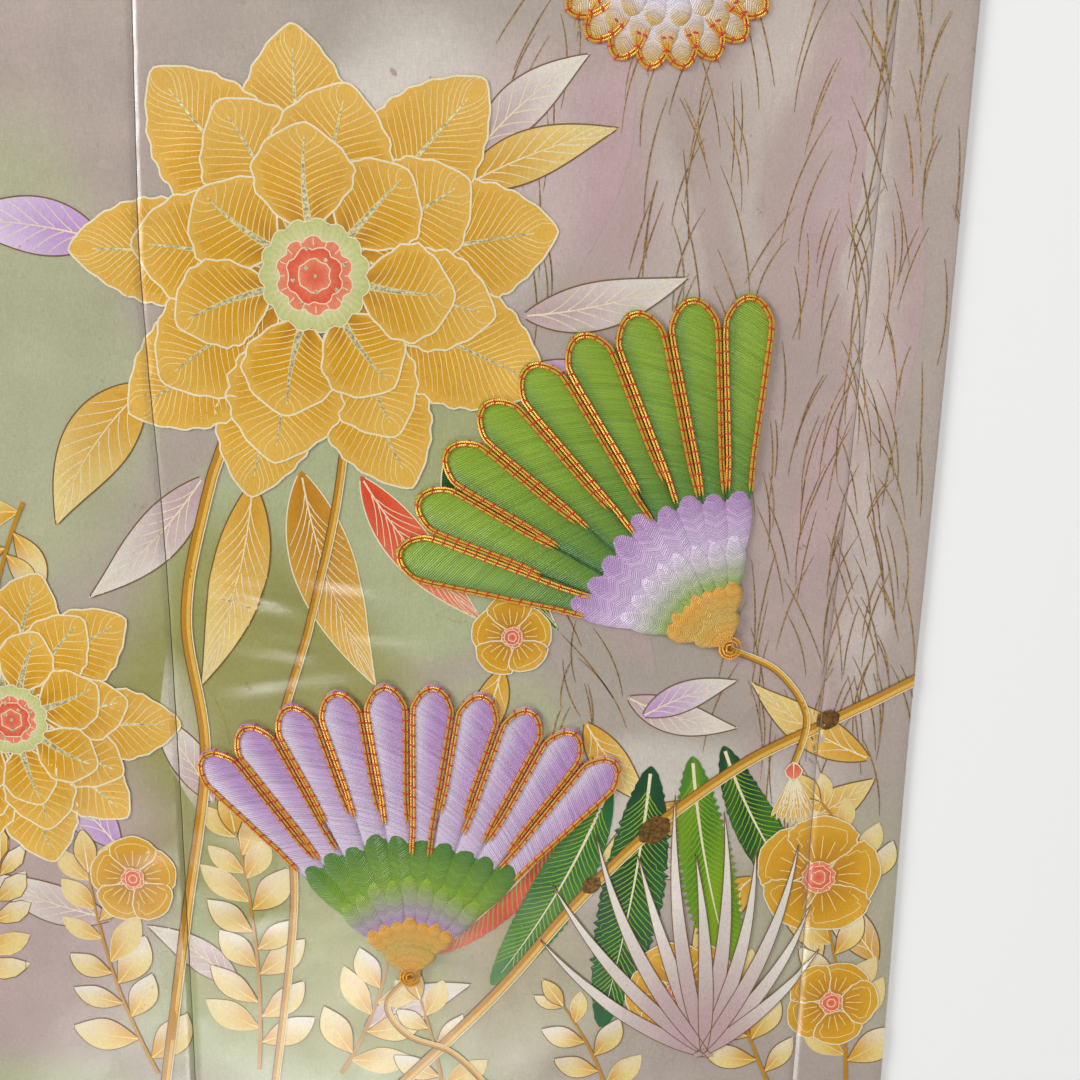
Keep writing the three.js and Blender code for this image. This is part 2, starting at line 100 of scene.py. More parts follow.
# Small creases near the hem, placed as the photo shows them: the same columns
CREASES = [
    (22, -1334, -16, 27, 7.5, 1.9), (30, -1345, -20, 30, 6, -0.9), (34, -1356, -12, 29, 7.5, 1.7),
    (24, -1369, 6, 25, 7, 1.3), (57, -1329, -9, 29, 7, 1.2), (64, -1340, -7, 30, 6, -0.5),
    (72, -1350, -4, 27, 7, 0.9), (50, -1366, 3, 20, 6, 0.7), (14, -1290, -24, 22, 6, 0.7),
    (10, -1262, 14, 20, 6, 0.5),
    (14, -1398, 18, 24, 7, 0.6), (10, -1432, -12, 22, 7, 0.6), (16, -1470, 12, 24, 8, 0.6),
    (-24, -1316, 16, 22, 7, 0.6), (-26, -1376, -14, 22, 7, 0.6), (-24, -1440, 12, 22, 8, 0.5),
    (118, -1381, 84, 14, 6, 0.9), (127, -1384, 80, 12, 6, -0.5), (216, -1378, 35, 18, 7, 0.6),
    (148, -1240, 64, 90, 26, 1.1), (60, -1460, 100, 70, 24, 0.9), (228, -1210, 92, 80, 15, 0.8),
    (196, -1455, 76, 60, 18, 0.8), (12, -1180, 80, 60, 16, 0.9), (-40, -1300, 88, 120, 20, 1.1),
    (-55, -1420, 80, 90, 18, 1.0), (262, -1330, 92, 120, 9, 0.6), (264, -1460, 88, 80, 8, 0.5),
    (180, -1150, 70, 60, 16, 0.7), (236, -1296, 12, 26, 7, 0.5), (238, -1226, -10, 24, 7, 0.5),
    (110, -1420, 20, 60, 14, 0.5), (150, -1520, 30, 50, 14, 0.8), (230, -1420, -14, 26, 7, 0.5),
]
SLEEVE_CREASES = [
    (520, -1040, 8, 90, 12, 0.8), (640, -880, 70, 80, 14, 0.7), (440, -980, 30, 60, 10, 0.6),
    (560, -300, 20, 90, 16, 0.9), (420, -180, 60, 90, 14, 0.7), (610, -700, 100, 100, 16, 0.8),
]
UPPER_CREASES = [
    (150, -320, 50, 80, 14, 0.8), (240, -420, 20, 60, 12, 0.9), (200, -700, 82, 140, 16, 0.8),
    (90, -760, 100, 120, 16, 0.7), (240, -900, 80, 130, 14, 0.7), (130, -1040, 60, 70, 12, 0.6),
]


def smooth(low, high, t):
    """0 below low, 1 above high, and an even step between."""
    t = np.clip((np.asarray(t, float) - low) / (high - low), 0, 1)
    return t * t * (3 - 2 * t)


def mix(a, b, t):
    return a + (b - a) * t


def along(rows, y):
    """The x of an outline at heights y, smooth through its rows."""
    ys, xs = np.array(rows, float).T
    y = np.asarray(y, float)
    last = len(ys) - 1
    i = np.clip(np.searchsorted(-ys, -y, side="left") - 1, 0, last - 1)
    before, after = np.maximum(i - 1, 0), np.minimum(i + 2, last)
    span = ys[i + 1] - ys[i]
    t = np.clip((y - ys[i]) / span, 0, 1)
    leaving = (xs[i + 1] - xs[before]) / (ys[i + 1] - ys[before]) * span
    arriving = (xs[after] - xs[i]) / (ys[after] - ys[i]) * span
    return ((2 * t**3 - 3 * t**2 + 1) * xs[i] + (t**3 - 2 * t**2 + t) * leaving
            + (3 * t**2 - 2 * t**3) * xs[i + 1] + (t**3 - t**2) * arriving)


def folds_at(folds, x, y):
    """Height of a table of folds or creases."""
    height = np.zeros(np.broadcast(x, y).shape)
    for cx, cy, turn, half, spread, rise in folds:
        c, s = math.cos(math.radians(turn)), math.sin(math.radians(turn))
        dx, dy = x - cx, y - cy
        lengthwise = np.clip(np.abs(dx * c + dy * s) / half, 0, 1)
        across = np.clip(np.abs(dy * c - dx * s) / spread, 0, 1)
        height += rise * (np.cos(lengthwise * math.pi / 2) * np.cos(across * math.pi / 2)) ** 2
    return height


def collar_seam(y):
    return along(COLLAR_SEAM, y)


def collar_fold(y):
    return collar_seam(y) - COLLAR_WIDTH


def overlap_seam(y):
    return along(OVERLAP_SEAM, y)


def overlap_edge(y):
    return along(OVERLAP_EDGE, y)


def side_fold(y):
    """The outer fold of a front, held above the height where it is complete."""
    return along(SIDE_FOLD, np.minimum(y, SIDE_FOLD_DONE))


def side_seam(y):
    return 2 * side_fold(y) - BACK_WIDTH


# How the left front steps up over the layers under it
BESIDE_COLLAR = 45             # how far past the right collar the step begins
BESIDE_EDGE = 25               # the same past the right overlap's edge
SLOPE_RUN = 38
STEP_STARTS = (150, 215)       # distances below the shoulder between which the step grows
RUNS_OUT = (140, 66)           # distances below a collar's end between which its step runs out
# Folds and creases
CALM = (70, 190)               # distances below the shoulder between which they grow
CREASE_FREE = (1.5, 9)         # distances from the side fold between which creases grow
DIP = -0.2                     # deepest hollow of a crease, so that it clears the layer below
RIGHT_SHOWN = (165, 235)       # x between which the right front comes out from under the left one
RIGHT_FOLDS = 0.8              # height of its folds beside those of the left front
CREASE_SHIFT = 23              # how far its creases are moved down
SLEEVE_ENDS = (60, 50)         # how far from a sleeve's ends its folds are whole
HEM_DROP = 0.35                # how much thinner the hem is at its very edge
HEM_RUN = 1.5


def ends_below(end, y):
    return smooth(end - RUNS_OUT[0], end - RUNS_OUT[1], y)


def left_level(x, y):
    """Underside of the left front, which rises over the right front, its collar and over-collar."""
    started = smooth(*STEP_STARTS, -y)
    low = np.maximum(y, COLLAR_END)
    past_collar = BESIDE_COLLAR - collar_fold(low)
    past_edge = BESIDE_EDGE - overlap_edge(y)
    collar_there = ends_below(COLLAR_END, y)
    covered = np.where(y > COLLAR_END, past_collar, mix(past_edge, past_collar, collar_there))
    panel = 1 - smooth(0, SLOPE_RUN, x - covered)
    far_side = -collar_seam(low) - BESIDE_COLLAR
    strip = (collar_there * (1 - smooth(0, SLOPE_RUN, x - past_collar))
             * smooth(-SLOPE_RUN, 0, x - far_side))
    layers = panel + strip + strip * ends_below(OVER_COLLAR_END, y)
    return PITCH + PITCH * started * layers


def calm(y):
    return smooth(*CALM, -y)


def wrinkles(x, y):
    """Small creases of the front, none within a few millimetres of the side fold."""
    fade = smooth(*CREASE_FREE, side_fold(y) - x)
    return folds_at(CREASES + UPPER_CREASES, x, y) * fade * calm(y)


def left_flap(x, y):
    """How far the back's flap on the left front rises with the creases."""
    return np.maximum(wrinkles(x, y), DIP)


def right_flap(x, y):
    return 0 * x


def left_front(x, y):
    return left_level(x, y) + folds_at(FRONT_FOLDS, x, y) * calm(y) + left_flap(x, y)


def right_front(x, y):
    """Flat where the left front covers it, folded and creased where it shows."""
    folds = RIGHT_FOLDS * folds_at(FRONT_FOLDS, x, y) * calm(y)
    return PITCH + (folds + np.maximum(wrinkles(x, y + CREASE_SHIFT), 0)) * smooth(*RIGHT_SHOWN, x)


def sleeve_front(x, y):
    folds = folds_at(SLEEVE_FOLDS, x, y) + np.maximum(folds_at(SLEEVE_CREASES, x, y), 0)
    return PITCH + folds * smooth(0, SLEEVE_ENDS[0], -y) * smooth(0, SLEEVE_ENDS[1], y + SLEEVE_LENGTH)


def pucker(distance, y, phase):
    """Seam line drawn in by its stitches: a soft groove, a pressed ridge and small puckers beside it."""
    away = np.abs(distance)
    groove = 0.62 * np.exp(-((away / 1.0) ** 1.6))
    waves = np.sin(y * 0.53 + phase) * 0.6 + np.sin(y * 0.31 + 2 * phase) * 0.7
    ridge = 0.16 * np.exp(-((distance + 5.2) / 1.5) ** 2) + 0.22 * np.exp(-((distance + 2.4) / 1.5) ** 2)
    return ridge + 0.14 * waves * np.exp(-away / 6) - groove


def seam_relief(x, y):
    """What the seams and the hem of a front add to its upper face."""
    overlap = np.where(y < OVERLAP_TIP, pucker(x - overlap_seam(y), y, 0.4), 0)
    side = np.where(y < SIDE_FOLD_DONE, pucker(x - side_seam(y), y, 1.9), 0)
    return overlap + side - HEM_DROP * np.exp(-np.abs(LENGTH + y) / HEM_RUN)


def upper_face(x, y, front, flap):
    """Upper face of a front, from its inner edge to the side fold, with the back's flap on it."""
    on_flap = (x > side_seam(y)) & (y < SIDE_FOLD_DONE)
    return np.where(on_flap, PITCH + flap(x, y), front(x, y)) + WALL + seam_relief(x, y)


def left_top(x, y):
    return upper_face(x, y, left_front, left_flap)


def right_top(x, y):
    """The same for the right front, mirrored to +x."""
    return upper_face(x, y, right_front, right_flap)


def sleeve_top(x, y):
    return sleeve_front(x, y) + WALL


def linear(code):
    """Linear colour of an sRGB hex code."""
    c = np.array([int(code[i:i + 2], 16) / 255 for i in (0, 2, 4)])
    return np.where(c <= 0.04045, c / 12.92, ((c + 0.055) / 1.055) ** 2.4)


DYE_DEPTH = 1.2    # how much deeper the dyes sit in the silk than on their chart
INK = {name: linear(code) ** DYE_DEPTH for name, code in {
    "greige": "bbb0a4", "pink": "c4b1a9", "rose": "caaeae", "green_mist": "bfc49c", "moss": "a8a566",
    "white": "ece5da", "cream": "f3e7c6", "light_cream": "f4dc9c", "gold": "dfab20",
    "deep_gold": "c78d10", "light_gold": "eac060", "pale_gold": "efd894", "coral": "e8694a",
    "peach": "f09a78", "ring_green": "cdd08e", "lilac": "c79fd0", "pale_lilac": "e9d8ec",
    "lime": "9dbc1a", "leaf": "5a9026", "emerald": "1e7534", "dark_emerald": "0d552c",
    "orange": "e6541f", "brown_line": "8a6a3c", "stroke": "a38656", "ochre": "c99524",
    "red_orange": "cb3f16",
    "thread_white": "f2eaf2", "thread_gold": "efb548", "tie": "d6430c", "silver_gold": "e2dab2",
    "cream_gold": "dcb95c",
}.items()}


SHARP_ANGLE = math.radians(55)


def link(name, data):
    """An object of that mesh, camera or light, put in the scene."""
    thing = bpy.data.objects.new(name, data)
    bpy.context.scene.collection.objects.link(thing)
    return thing


def in_frame(points):
    """Points in millimetres from the shoulder fold as metres in the frame's axes."""
    return (points + (0, SHOULDER_Y, 0)) * MM


def colour_points(mesh, colours):
    rgba = np.ones((len(colours), 4), np.float32)
    rgba[:, :3] = colours
    mesh.color_attributes.new("paint", "FLOAT_COLOR", "POINT").data.foreach_set("color", rgba.ravel())


def new_object(name, points, faces, material, colours, threads=None):
    """A mesh object from points in millimetres, with its paint and thread directions as attributes."""
    points = np.asarray(points, float).reshape(-1, 3)
    mesh = bpy.data.meshes.new(name)
    mesh.from_pydata(in_frame(points), [], faces)
    colour_points(mesh, np.reshape(colours, (-1, 3)))
    if threads is not None:
        vectors = np.zeros((len(points), 3), np.float32)
        vectors[:, :2] = np.asarray(threads, float).reshape(-1, 2)
        mesh.attributes.new("thread", "FLOAT_VECTOR", "POINT").data.foreach_set("vector", vectors.ravel())
    mesh.materials.append(material)
    mesh.shade_smooth()
    mesh.set_sharp_from_angle(angle=SHARP_ANGLE)
    piece = link(name, mesh)
    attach(piece, "root")
    return piece


def volume(points, faces):
    """Positive where the faces look outwards."""
    a, b, c = (points[faces[:, k]] for k in (0, 1, 2))
    d = points[faces[:, 3]]
    return np.sum(a * np.cross(b, c)) + np.sum(a * np.cross(c, d))


def closed_sheet(name, outer, inner, material, colours, threads=None):
    """A thin closed piece from its outer and inner grids of points."""
    rows, columns = outer.shape[:2]
    ids = np.arange(rows * columns).reshape(rows, columns)
    below = ids + rows * columns
    quads = np.stack([ids[:-1, :-1], ids[:-1, 1:], ids[1:, 1:], ids[1:, :-1]], -1).reshape(-1, 4)
    under = quads[:, ::-1] + rows * columns
    loop = np.concatenate([ids[0, :], ids[1:, -1], ids[-1, -2::-1], ids[-2:0:-1, 0]])
    after = np.roll(loop, -1)
    rim = np.stack([after, loop, loop + rows * columns, after + rows * columns], -1)
    faces = np.concatenate([quads, under, rim])
    points = np.concatenate([outer.reshape(-1, 3), inner.reshape(-1, 3)])
    if volume(points, faces) < 0:
        faces = faces[:, ::-1]
    both = np.concatenate([colours.reshape(-1, 3)] * 2)
    return new_object(name, points, faces, material, both, threads)


def stations(low, high, fine=(), coarse=12.0, step=3.2):
    """Heights from low to high, closer together inside the fine range."""
    marks = [low]
    while marks[-1] < high:
        inside = fine and fine[0] < marks[-1] < fine[1]
        marks.append(marks[-1] + (step if inside else coarse))
    marks[-1] = high
    if marks[-1] - marks[-2] < 1:
        del marks[-2]
    return np.array(marks)


IN_VIEW = (-1585, -1085)       # heights that the camera sees
EDGE_STEPS = np.array([0, 0.5, 1.1, 2.0, 3.4, 5.4])


def shares(width, step):
    """Shares across a panel of that width, closer together at both edges."""
    count = max(2, round((width - 2 * EDGE_STEPS[-1]) / step))
    middle = np.linspace(EDGE_STEPS[-1], width - EDGE_STEPS[-1], count + 1)[1:-1]
    return np.concatenate([EDGE_STEPS, middle, width - EDGE_STEPS[::-1]]) / width


BODY_SHARES = shares(SEAM_TO_SEAM, 3.4)
FLAP_STEPS = np.linspace(0, FLAP_WIDTH - EDGE_STEPS[-1], 8)[1:]
FLAP_SHARES = np.concatenate([FLAP_STEPS, FLAP_WIDTH - EDGE_STEPS[-2::-1]]) / FLAP_WIDTH
BEND_COLUMNS = 5
LEAST_BEND = 1e-5
FLAT_SHARES = np.linspace(0, 1, len(BODY_SHARES) - BEND_COLUMNS - len(FLAP_SHARES))
BEND = math.pi * (FOLD_IN + WALL / 2)
LOWER = {
    "shown": stations(-LENGTH, SIDE_FOLD_DONE, IN_VIEW, step=2.6),
    "beneath": stations(-LENGTH, SIDE_FOLD_DONE, IN_VIEW, step=9),
    "plain": stations(-LENGTH, SIDE_FOLD_DONE, coarse=10),
    "far": stations(-LENGTH, SIDE_FOLD_DONE, coarse=18),
}
ROLL = stations(SIDE_FOLD_DONE + 3, SIDE_SEAM_TOP, coarse=4)
FOLD_TURNS = np.radians([30, 60, 90, 120, 150])
NECK_ROWS = [-25.1, -24.9, -24, -22, -19, -15, -10, -5, -FOLD_OUT]
# Distances below the shoulder between which the side turns from flat to folded, and its flap comes to lie
FOLD_TURN = (379, 418)
FLAP_LIES = (400, 430)
TUCK = 14                      # height over which a front's side moves in to the seam


def open_side(y):
    return mix(SHOULDER_HALF - HALF_GAP, UNDERARM_HALF, smooth(0, -SIDE_SEAM_TOP, -y))


def front_side(y):
    tuck = smooth(-SIDE_SEAM_TOP, TUCK - SIDE_SEAM_TOP, -y)
    return mix(open_side(y), side_seam(y) - HALF_GAP, tuck)


def front_inner(y):
    return np.where(y > OVERLAP_TIP, collar_seam(y), overlap_seam(y)) + HALF_GAP


def shoulder_fold(x, turn, radius):
    return np.stack([x, np.full_like(x, radius * math.sin(turn) - FOLD_OUT),
                     np.full_like(x, FOLD_OUT + radius * math.cos(turn))], -1)


def back_row(y, off, flap_rise):
    """One row of the back: flat, bent up round the side and lying on the front as a flap."""
    neck = NECK_HALF * math.sqrt(1 - (y / NECK_DROP) ** 2) if y > -NECK_DROP else 0
    inner = max(neck, HALF_GAP)
    angle = math.pi * float(smooth(*FOLD_TURN, -y))
    folded = float(side_fold(y))
    flap = BACK_WIDTH - folded - FOLD_OUT
    hinge = mix(float(open_side(y)) - BEND - flap, folded - FOLD_OUT, angle / math.pi)
    bent = np.arange(1, BEND_COLUMNS + 1) / BEND_COLUMNS
    turn = np.concatenate([np.zeros(len(FLAT_SHARES)), angle * bent, np.full(len(FLAP_SHARES), angle)])
    bend_x, bend_z = BEND * bent, 0 * bent
    if angle > LEAST_BEND:
        bend_x, bend_z = BEND / angle * np.sin(angle * bent), BEND / angle * (1 - np.cos(angle * bent))
    run = flap * FLAP_SHARES
    along_x = np.concatenate([inner + (hinge - inner) * FLAT_SHARES, hinge + bend_x,
                              hinge + bend_x[-1] + run * math.cos(angle)])
    along_z = np.concatenate([0 * FLAT_SHARES, bend_z, bend_z[-1] + run * math.sin(angle)])
    x = along_x - off * np.sin(turn)
    z = WALL / 2 + along_z + off * np.cos(turn)
    lying = float(smooth(*FLAP_LIES, -y))
    on_flap = np.concatenate([np.zeros(len(FLAT_SHARES) + BEND_COLUMNS), np.ones(len(FLAP_SHARES))])
    z = z + lying * on_flap * flap_rise(x, y)
    return np.stack([x, np.full_like(x, y), z], -1)


def mirrored(points, sign):
    return points * (sign, 1, 1)


def front_rows(ys, columns, x_at, under, top):
    """Inner and outer points of a front panel."""
    y = np.repeat(np.asarray(ys, float)[:, None], len(columns), 1)
    x = x_at(y, np.asarray(columns)[None, :])
    return np.stack([x, y, under(x, y)], -1), np.stack([x, y, top(x, y)], -1)


def cut_piece(name, outer, inner, sign, **cut):
    """A sewn piece of the dyed silk, mirrored for the right side."""
    inner, outer = mirrored(inner, sign), mirrored(outer, sign)
    piece = closed_sheet("cloth_" + name, outer, inner, SILK, ground(outer[..., 0], outer[..., 1]))
    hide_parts(name)


def body_cloth(name, sign, under, top, flap, rows):
    """One body panel from the front hem over the shoulder to the back hem."""
    ys = np.concatenate([LOWER[rows[0]], ROLL, stations(-363, -32, coarse=11), NECK_ROWS])
    inner, outer = front_rows(
        ys, BODY_SHARES, lambda y, s: mix(front_inner(y), front_side(y), s), under, top)
    x = mix(NECK_HALF, SHOULDER_HALF - HALF_GAP, BODY_SHARES)
    fold_in = [shoulder_fold(x, turn, FOLD_IN) for turn in FOLD_TURNS]
    fold_out = [shoulder_fold(x, turn, FOLD_OUT) for turn in FOLD_TURNS]
    back_ys = np.concatenate([NECK_ROWS[::-1], stations(-365, -34, coarse=22)[::-1], ROLL[::-1],
                              LOWER[rows[1]][::-1]])
    back_in = [back_row(y, WALL / 2, flap) for y in back_ys]
    back_out = [back_row(y, -WALL / 2, lambda x, y: flap(x, y) + seam_relief(x, y)) for y in back_ys]
    inner = np.concatenate([inner, fold_in, back_in])
    outer = np.concatenate([outer, fold_out, back_out])
    cut_piece(name, outer, inner, sign, flat=(0.34, 2 * LENGTH * MM), area=0.94, rests_on=["floor"])


def overlap_cloth(name, sign, under, top, rows):
    """One overlap panel, from its free edge to its seam with the front."""
    ys = np.concatenate([LOWER[rows], ROLL, stations(-363, OVERLAP_TIP - 14, coarse=11)])

    def place(y, share):
        free = np.where(y > COLLAR_END, collar_seam(y) + HALF_GAP, overlap_edge(y))
        return mix(free, overlap_seam(y) - HALF_GAP, share)

    inner, outer = front_rows(ys, shares(OVERLAP_WIDTH, 4.5), place, under, top)
    cut_piece(name, outer, inner, sign, flat=(0.17, 1.42), area=0.164, rests_on=["cloth_body_right"])


def sleeve_x(y, share):
    rise = np.minimum(y + SLEEVE_LENGTH, SLEEVE_CORNER)
    inset = SLEEVE_CORNER - np.sqrt(SLEEVE_CORNER**2 - (SLEEVE_CORNER - rise) ** 2)
    return SLEEVE_X + (SLEEVE_WIDTH - inset) * share


def sleeve_cloth(name, sign):
    """A sleeve folded at the shoulder, its lower outer corner rounded."""
    corner = -SLEEVE_LENGTH + SLEEVE_CORNER * np.array([0, 0.02, 0.07, 0.15, 0.27, 0.42, 0.6, 0.8, 1])
    columns = np.linspace(0, 1, 52)
    ys = np.concatenate([corner, stations(-988, -20, coarse=9.5), [-12, -6, -FOLD_OUT]])
    inner, outer = front_rows(ys, columns, sleeve_x, sleeve_front, sleeve_top)
    x = SLEEVE_X + SLEEVE_WIDTH * columns
    back_ys = np.concatenate([[-FOLD_OUT, -6, -20], stations(-985, -40, coarse=30)[::-1], corner[::-1]])
    back_y = np.repeat(back_ys[:, None], len(columns), 1)
    back = np.stack([sleeve_x(back_y, columns[None, :]), back_y, 0 * back_y], -1)
    inner = np.concatenate([inner, [shoulder_fold(x, t, FOLD_IN) for t in FOLD_TURNS], back + (0, 0, WALL)])
    outer = np.concatenate([outer, [shoulder_fold(x, t, FOLD_OUT) for t in FOLD_TURNS], back])
    flat = (SLEEVE_WIDTH * MM, 2 * SLEEVE_LENGTH * MM)
    cut_piece(name, outer, inner, sign, flat=flat, rests_on=["floor"])


def cloudy(x, y, scale, phase):
    """Slow uneven waves between -1 and 1."""
    a, b = x / scale, y / scale
    return (np.sin(1.7 * a + 0.6 * b + phase) + np.sin(1.1 * b - 0.9 * a + 2.1 * phase)
            + np.sin(2.3 * b + 1.3 * a + 3.7 * phase)) / 3


# Dyed clouds of the ground: x, y, half lengths across and along, turn in degrees, ink, strength
TINTS = [
    (70, -1312, 100, 52, 20, "green_mist", 0.95), (30, -1400, 66, 96, 10, "moss", 0.95),
    (60, -1500, 110, 60, 0, "green_mist", 0.95), (64, -1490, 80, 50, 10, "moss", 0.75),
    (104, -1400, 50, 40, 30, "green_mist", 0.7),
    (110, -1280, 40, 26, 30, "moss", 0.3),
    (96, -1190, 60, 60, 0, "white", 0.7), (200, -1170, 60, 60, 20, "pink", 0.7),
    (232, -1300, 40, 110, 0, "rose", 0.35), (214, -1160, 12, 60, -8, "white", 0.3),
    (250, -1220, 11, 64, 6, "white", 0.3), (258, -1340, 10, 56, -4, "white", 0.28),
    (178, -1215, 12, 50, 4, "white", 0.25), (140, -1180, 30, 50, 30, "rose", 0.6),
    (180, -1425, 70, 30, 12, "white", 0.5), (250, -1470, 50, 60, 0, "green_mist", 0.4),
    (130, -1500, 40, 40, 0, "rose", 0.35), (-60, -1250, 50, 90, 0, "green_mist", 0.7),
    (-70, -1450, 60, 90, 0, "rose", 0.4), (-100, -1580, 90, 60, 0, "green_mist", 0.8),
    (150, -1600, 130, 50, 0, "moss", 0.6), (120, -1000, 110, 80, 20, "green_mist", 0.7),
    (200, -820, 90, 100, 0, "pink", 0.6), (60, -700, 60, 110, 0, "rose", 0.4),
    (190, -300, 110, 120, 20, "green_mist", 0.55), (500, -900, 150, 120, 10, "green_mist", 0.85),
    (560, -620, 120, 110, 30, "rose", 0.5), (430, -300, 110, 130, 0, "pink", 0.6),
    (620, -1010, 90, 70, 0, "moss", 0.5), (400, -700, 60, 120, 0, "white", 0.4),
]


PAST_EDGE = 4
UNEVEN = 26                    # how far the edges of the clouds wander


def left_border(y):
    """Just past the left front's end over the right one: its overlap's edge, or the middle of the collar."""
    high = np.maximum(y, COLLAR_END)
    return np.where(y < COLLAR_END, overlap_edge(y) - PAST_EDGE, collar_seam(high) - COLLAR_WIDTH / 2)


def ground(x, y):
    """Colour of the dyed silk, before what is painted on it."""
    side = np.where(x > left_border(y), x, -x)
    wavy_x = side + UNEVEN * 0.4 * cloudy(side, y, 30, 0.3)
    wavy_y = y + UNEVEN * 0.4 * cloudy(side, y, 34, 1.9)
    tone = (0.5 + 0.5 * cloudy(side, y, 60, 0.8))[..., None]
    colour = mix(INK["greige"], INK["pink"], 0.75 * tone)
    for cx, cy, rx, ry, turn, ink, strength in TINTS:
        c, s = math.cos(math.radians(turn)), math.sin(math.radians(turn))
        dx, dy = wavy_x - cx, wavy_y - cy
        away = ((dx * c + dy * s) / rx) ** 2 + ((dy * c - dx * s) / ry) ** 2
        colour = mix(colour, INK[ink], (strength * (1 - smooth(0.45, 1.25, away)))[..., None])
    return colour


class Look:
    """A material built from nodes."""

    def __init__(self, name, roughness, **settings):
        self.material = bpy.data.materials.new(name)
        self.material.use_nodes = True
        self.tree = self.material.node_tree
        self.shader = self.tree.nodes["Principled BSDF"]
        self.shader.inputs["Roughness"].default_value = roughness
        for socket, value in settings.items():
            self.shader.inputs[socket.replace("_", " ")].default_value = value
        self.place = self.add("ShaderNodeTexCoord").outputs["Object"]

    def add(self, kind, inputs=None, **settings):
        node = self.tree.nodes.new(kind)
        for key, value in settings.items():
            setattr(node, key, value)
        for key, value in (inputs or {}).items():
            if isinstance(value, bpy.types.NodeSocket):
                self.tree.links.new(value, node.inputs[key])
            else:
                node.inputs[key].default_value = value
        return node

    def attribute(self, name, output):
        return self.add("ShaderNodeAttribute", attribute_name=name).outputs[output]

    def noise(self, scale, vector=None, detail=2.0, stretch=(1, 1, 1)):
        vector = self.place if vector is None else vector
        mapped = self.add("ShaderNodeMapping", {"Vector": vector, "Scale": stretch}).outputs[0]
        return self.add("ShaderNodeTexNoise", {"Vector": mapped, "Scale": scale, "Detail": detail}).outputs[0]

    def levels(self, value, low, high, to_low=0.0, to_high=1.0):
        names = {"Value": value, "From Min": low, "From Max": high, "To Min": to_low, "To Max": to_high}
        return self.add("ShaderNodeMapRange", names).outputs[0]

    def multiply(self, a, b):
        return self.add("ShaderNodeMath", {0: a, 1: b}, operation="MULTIPLY").outputs[0]

    def shade(self, colour, value):
        """A colour made lighter or darker."""
        return self.add("ShaderNodeHueSaturation", {"Color": colour, "Value": value}).outputs[0]

    def blend(self, factor, a, b):
        """From colour a to colour b."""
        return self.add("ShaderNodeMix", {0: factor, 6: a, 7: b}, data_type="RGBA").outputs[2]

    def bump(self, height, distance, strength, normal=None):
        inputs = {"Height": height, "Distance": distance, "Strength": strength}
        if normal is not None:
            inputs["Normal"] = normal
        return self.add("ShaderNodeBump", inputs).outputs[0]

    def done(self, colour=None, normal=None, roughness=None):
        for socket, value in (("Base Color", colour), ("Normal", normal), ("Roughness", roughness)):
            if value is not None:
                self.tree.links.new(value, self.shader.inputs[socket])
        return self.material


# How fine the noise is that stands for the threads, along x, y and z
WEFT = (700, 3400, 700)
WARP = (2600, 500, 700)
AGE_SPECK = (*linear("9a6a34"), 1)


def silk_look(name, smoothest=0.25, roughest=0.34):
    """Satin silk: dyed colour with slow unevenness, age specks, a fine weave and a soft sheen."""
    look = Look(name, 0.3, Sheen_Weight=0.03, Sheen_Roughness=0.4, Specular_IOR_Level=0.8)
    paint = look.attribute("paint", "Color")
    weave = look.noise(1, detail=1, stretch=WEFT)
    crossing = look.noise(1, detail=1, stretch=WARP)
    uneven = look.levels(look.noise(38, detail=4), 0.3, 0.7, 0.94, 1.05)
    wefts = look.levels(weave, 0.3, 0.7, 0.94, 1.06)
    warps = look.levels(crossing, 0.3, 0.7, 0.93, 1.07)
    shade = look.shade(paint, look.multiply(uneven, look.multiply(wefts, warps)))
    specks = look.levels(look.noise(420, detail=1), 0.71, 0.76, 0.0, 0.3)
    patch = look.levels(look.noise(24, detail=2), 0.5, 0.62)
    aged = look.blend(look.multiply(specks, patch), shade, AGE_SPECK)
    normal = look.bump(weave, 0.00006, 0.5)
    normal = look.bump(crossing, 0.00005, 0.35, normal)
    ripple = look.noise(30, detail=2)
    normal = look.bump(ripple, 0.0012, 0.5, normal)
    rough = look.levels(look.noise(60, detail=3), 0.3, 0.7, smoothest, roughest)
    return look.done(aged, normal, rough)


SILK = silk_look("silk")
COLLAR_SILK = silk_look("collar_silk", 0.52, 0.6)


class Leaf:
    """A leaf-like outline about a bent spine: s runs from base to tip, t from one edge to the other."""

    def __init__(self, x, y, heading, length, width,
                 bend=0.0, widest=0.5, blunt=1.0, teeth=0, bite=0.0):
        self.s = np.linspace(0, 1, 65)
        self.length = length
        angle = np.radians(heading + bend * (self.s - 0.35))
        self.cos, self.sin = np.cos(angle), np.sin(angle)
        step = length / (len(self.s) - 1)
        self.x = x + np.concatenate([[0], np.cumsum(self.cos[:-1]) * step])
        self.y = y + np.concatenate([[0], np.cumsum(self.sin[:-1]) * step])
        power = math.log(0.5) / math.log(widest)
        self.half = width / 2 * np.sin(np.pi * self.s**power) ** blunt
        if teeth:
            self.half = self.half * (1 + bite * (np.abs((self.s * teeth) % 1 - 0.5) * 2 - 0.5))

    def point(self, s, t):
        s, t = np.broadcast_arrays(np.asarray(s, float), np.asarray(t, float))
        across = t * np.interp(s, self.s, self.half)
        cos, sin = np.interp(s, self.s, self.cos), np.interp(s, self.s, self.sin)
        return np.stack([np.interp(s, self.s, self.x) - across * sin,
                         np.interp(s, self.s, self.y) + across * cos], -1)

    def heading(self, s):
        """Direction of its spine in degrees."""
        sin, cos = np.interp(s, self.s, self.sin), np.interp(s, self.s, self.cos)
        return math.degrees(math.atan2(sin, cos))


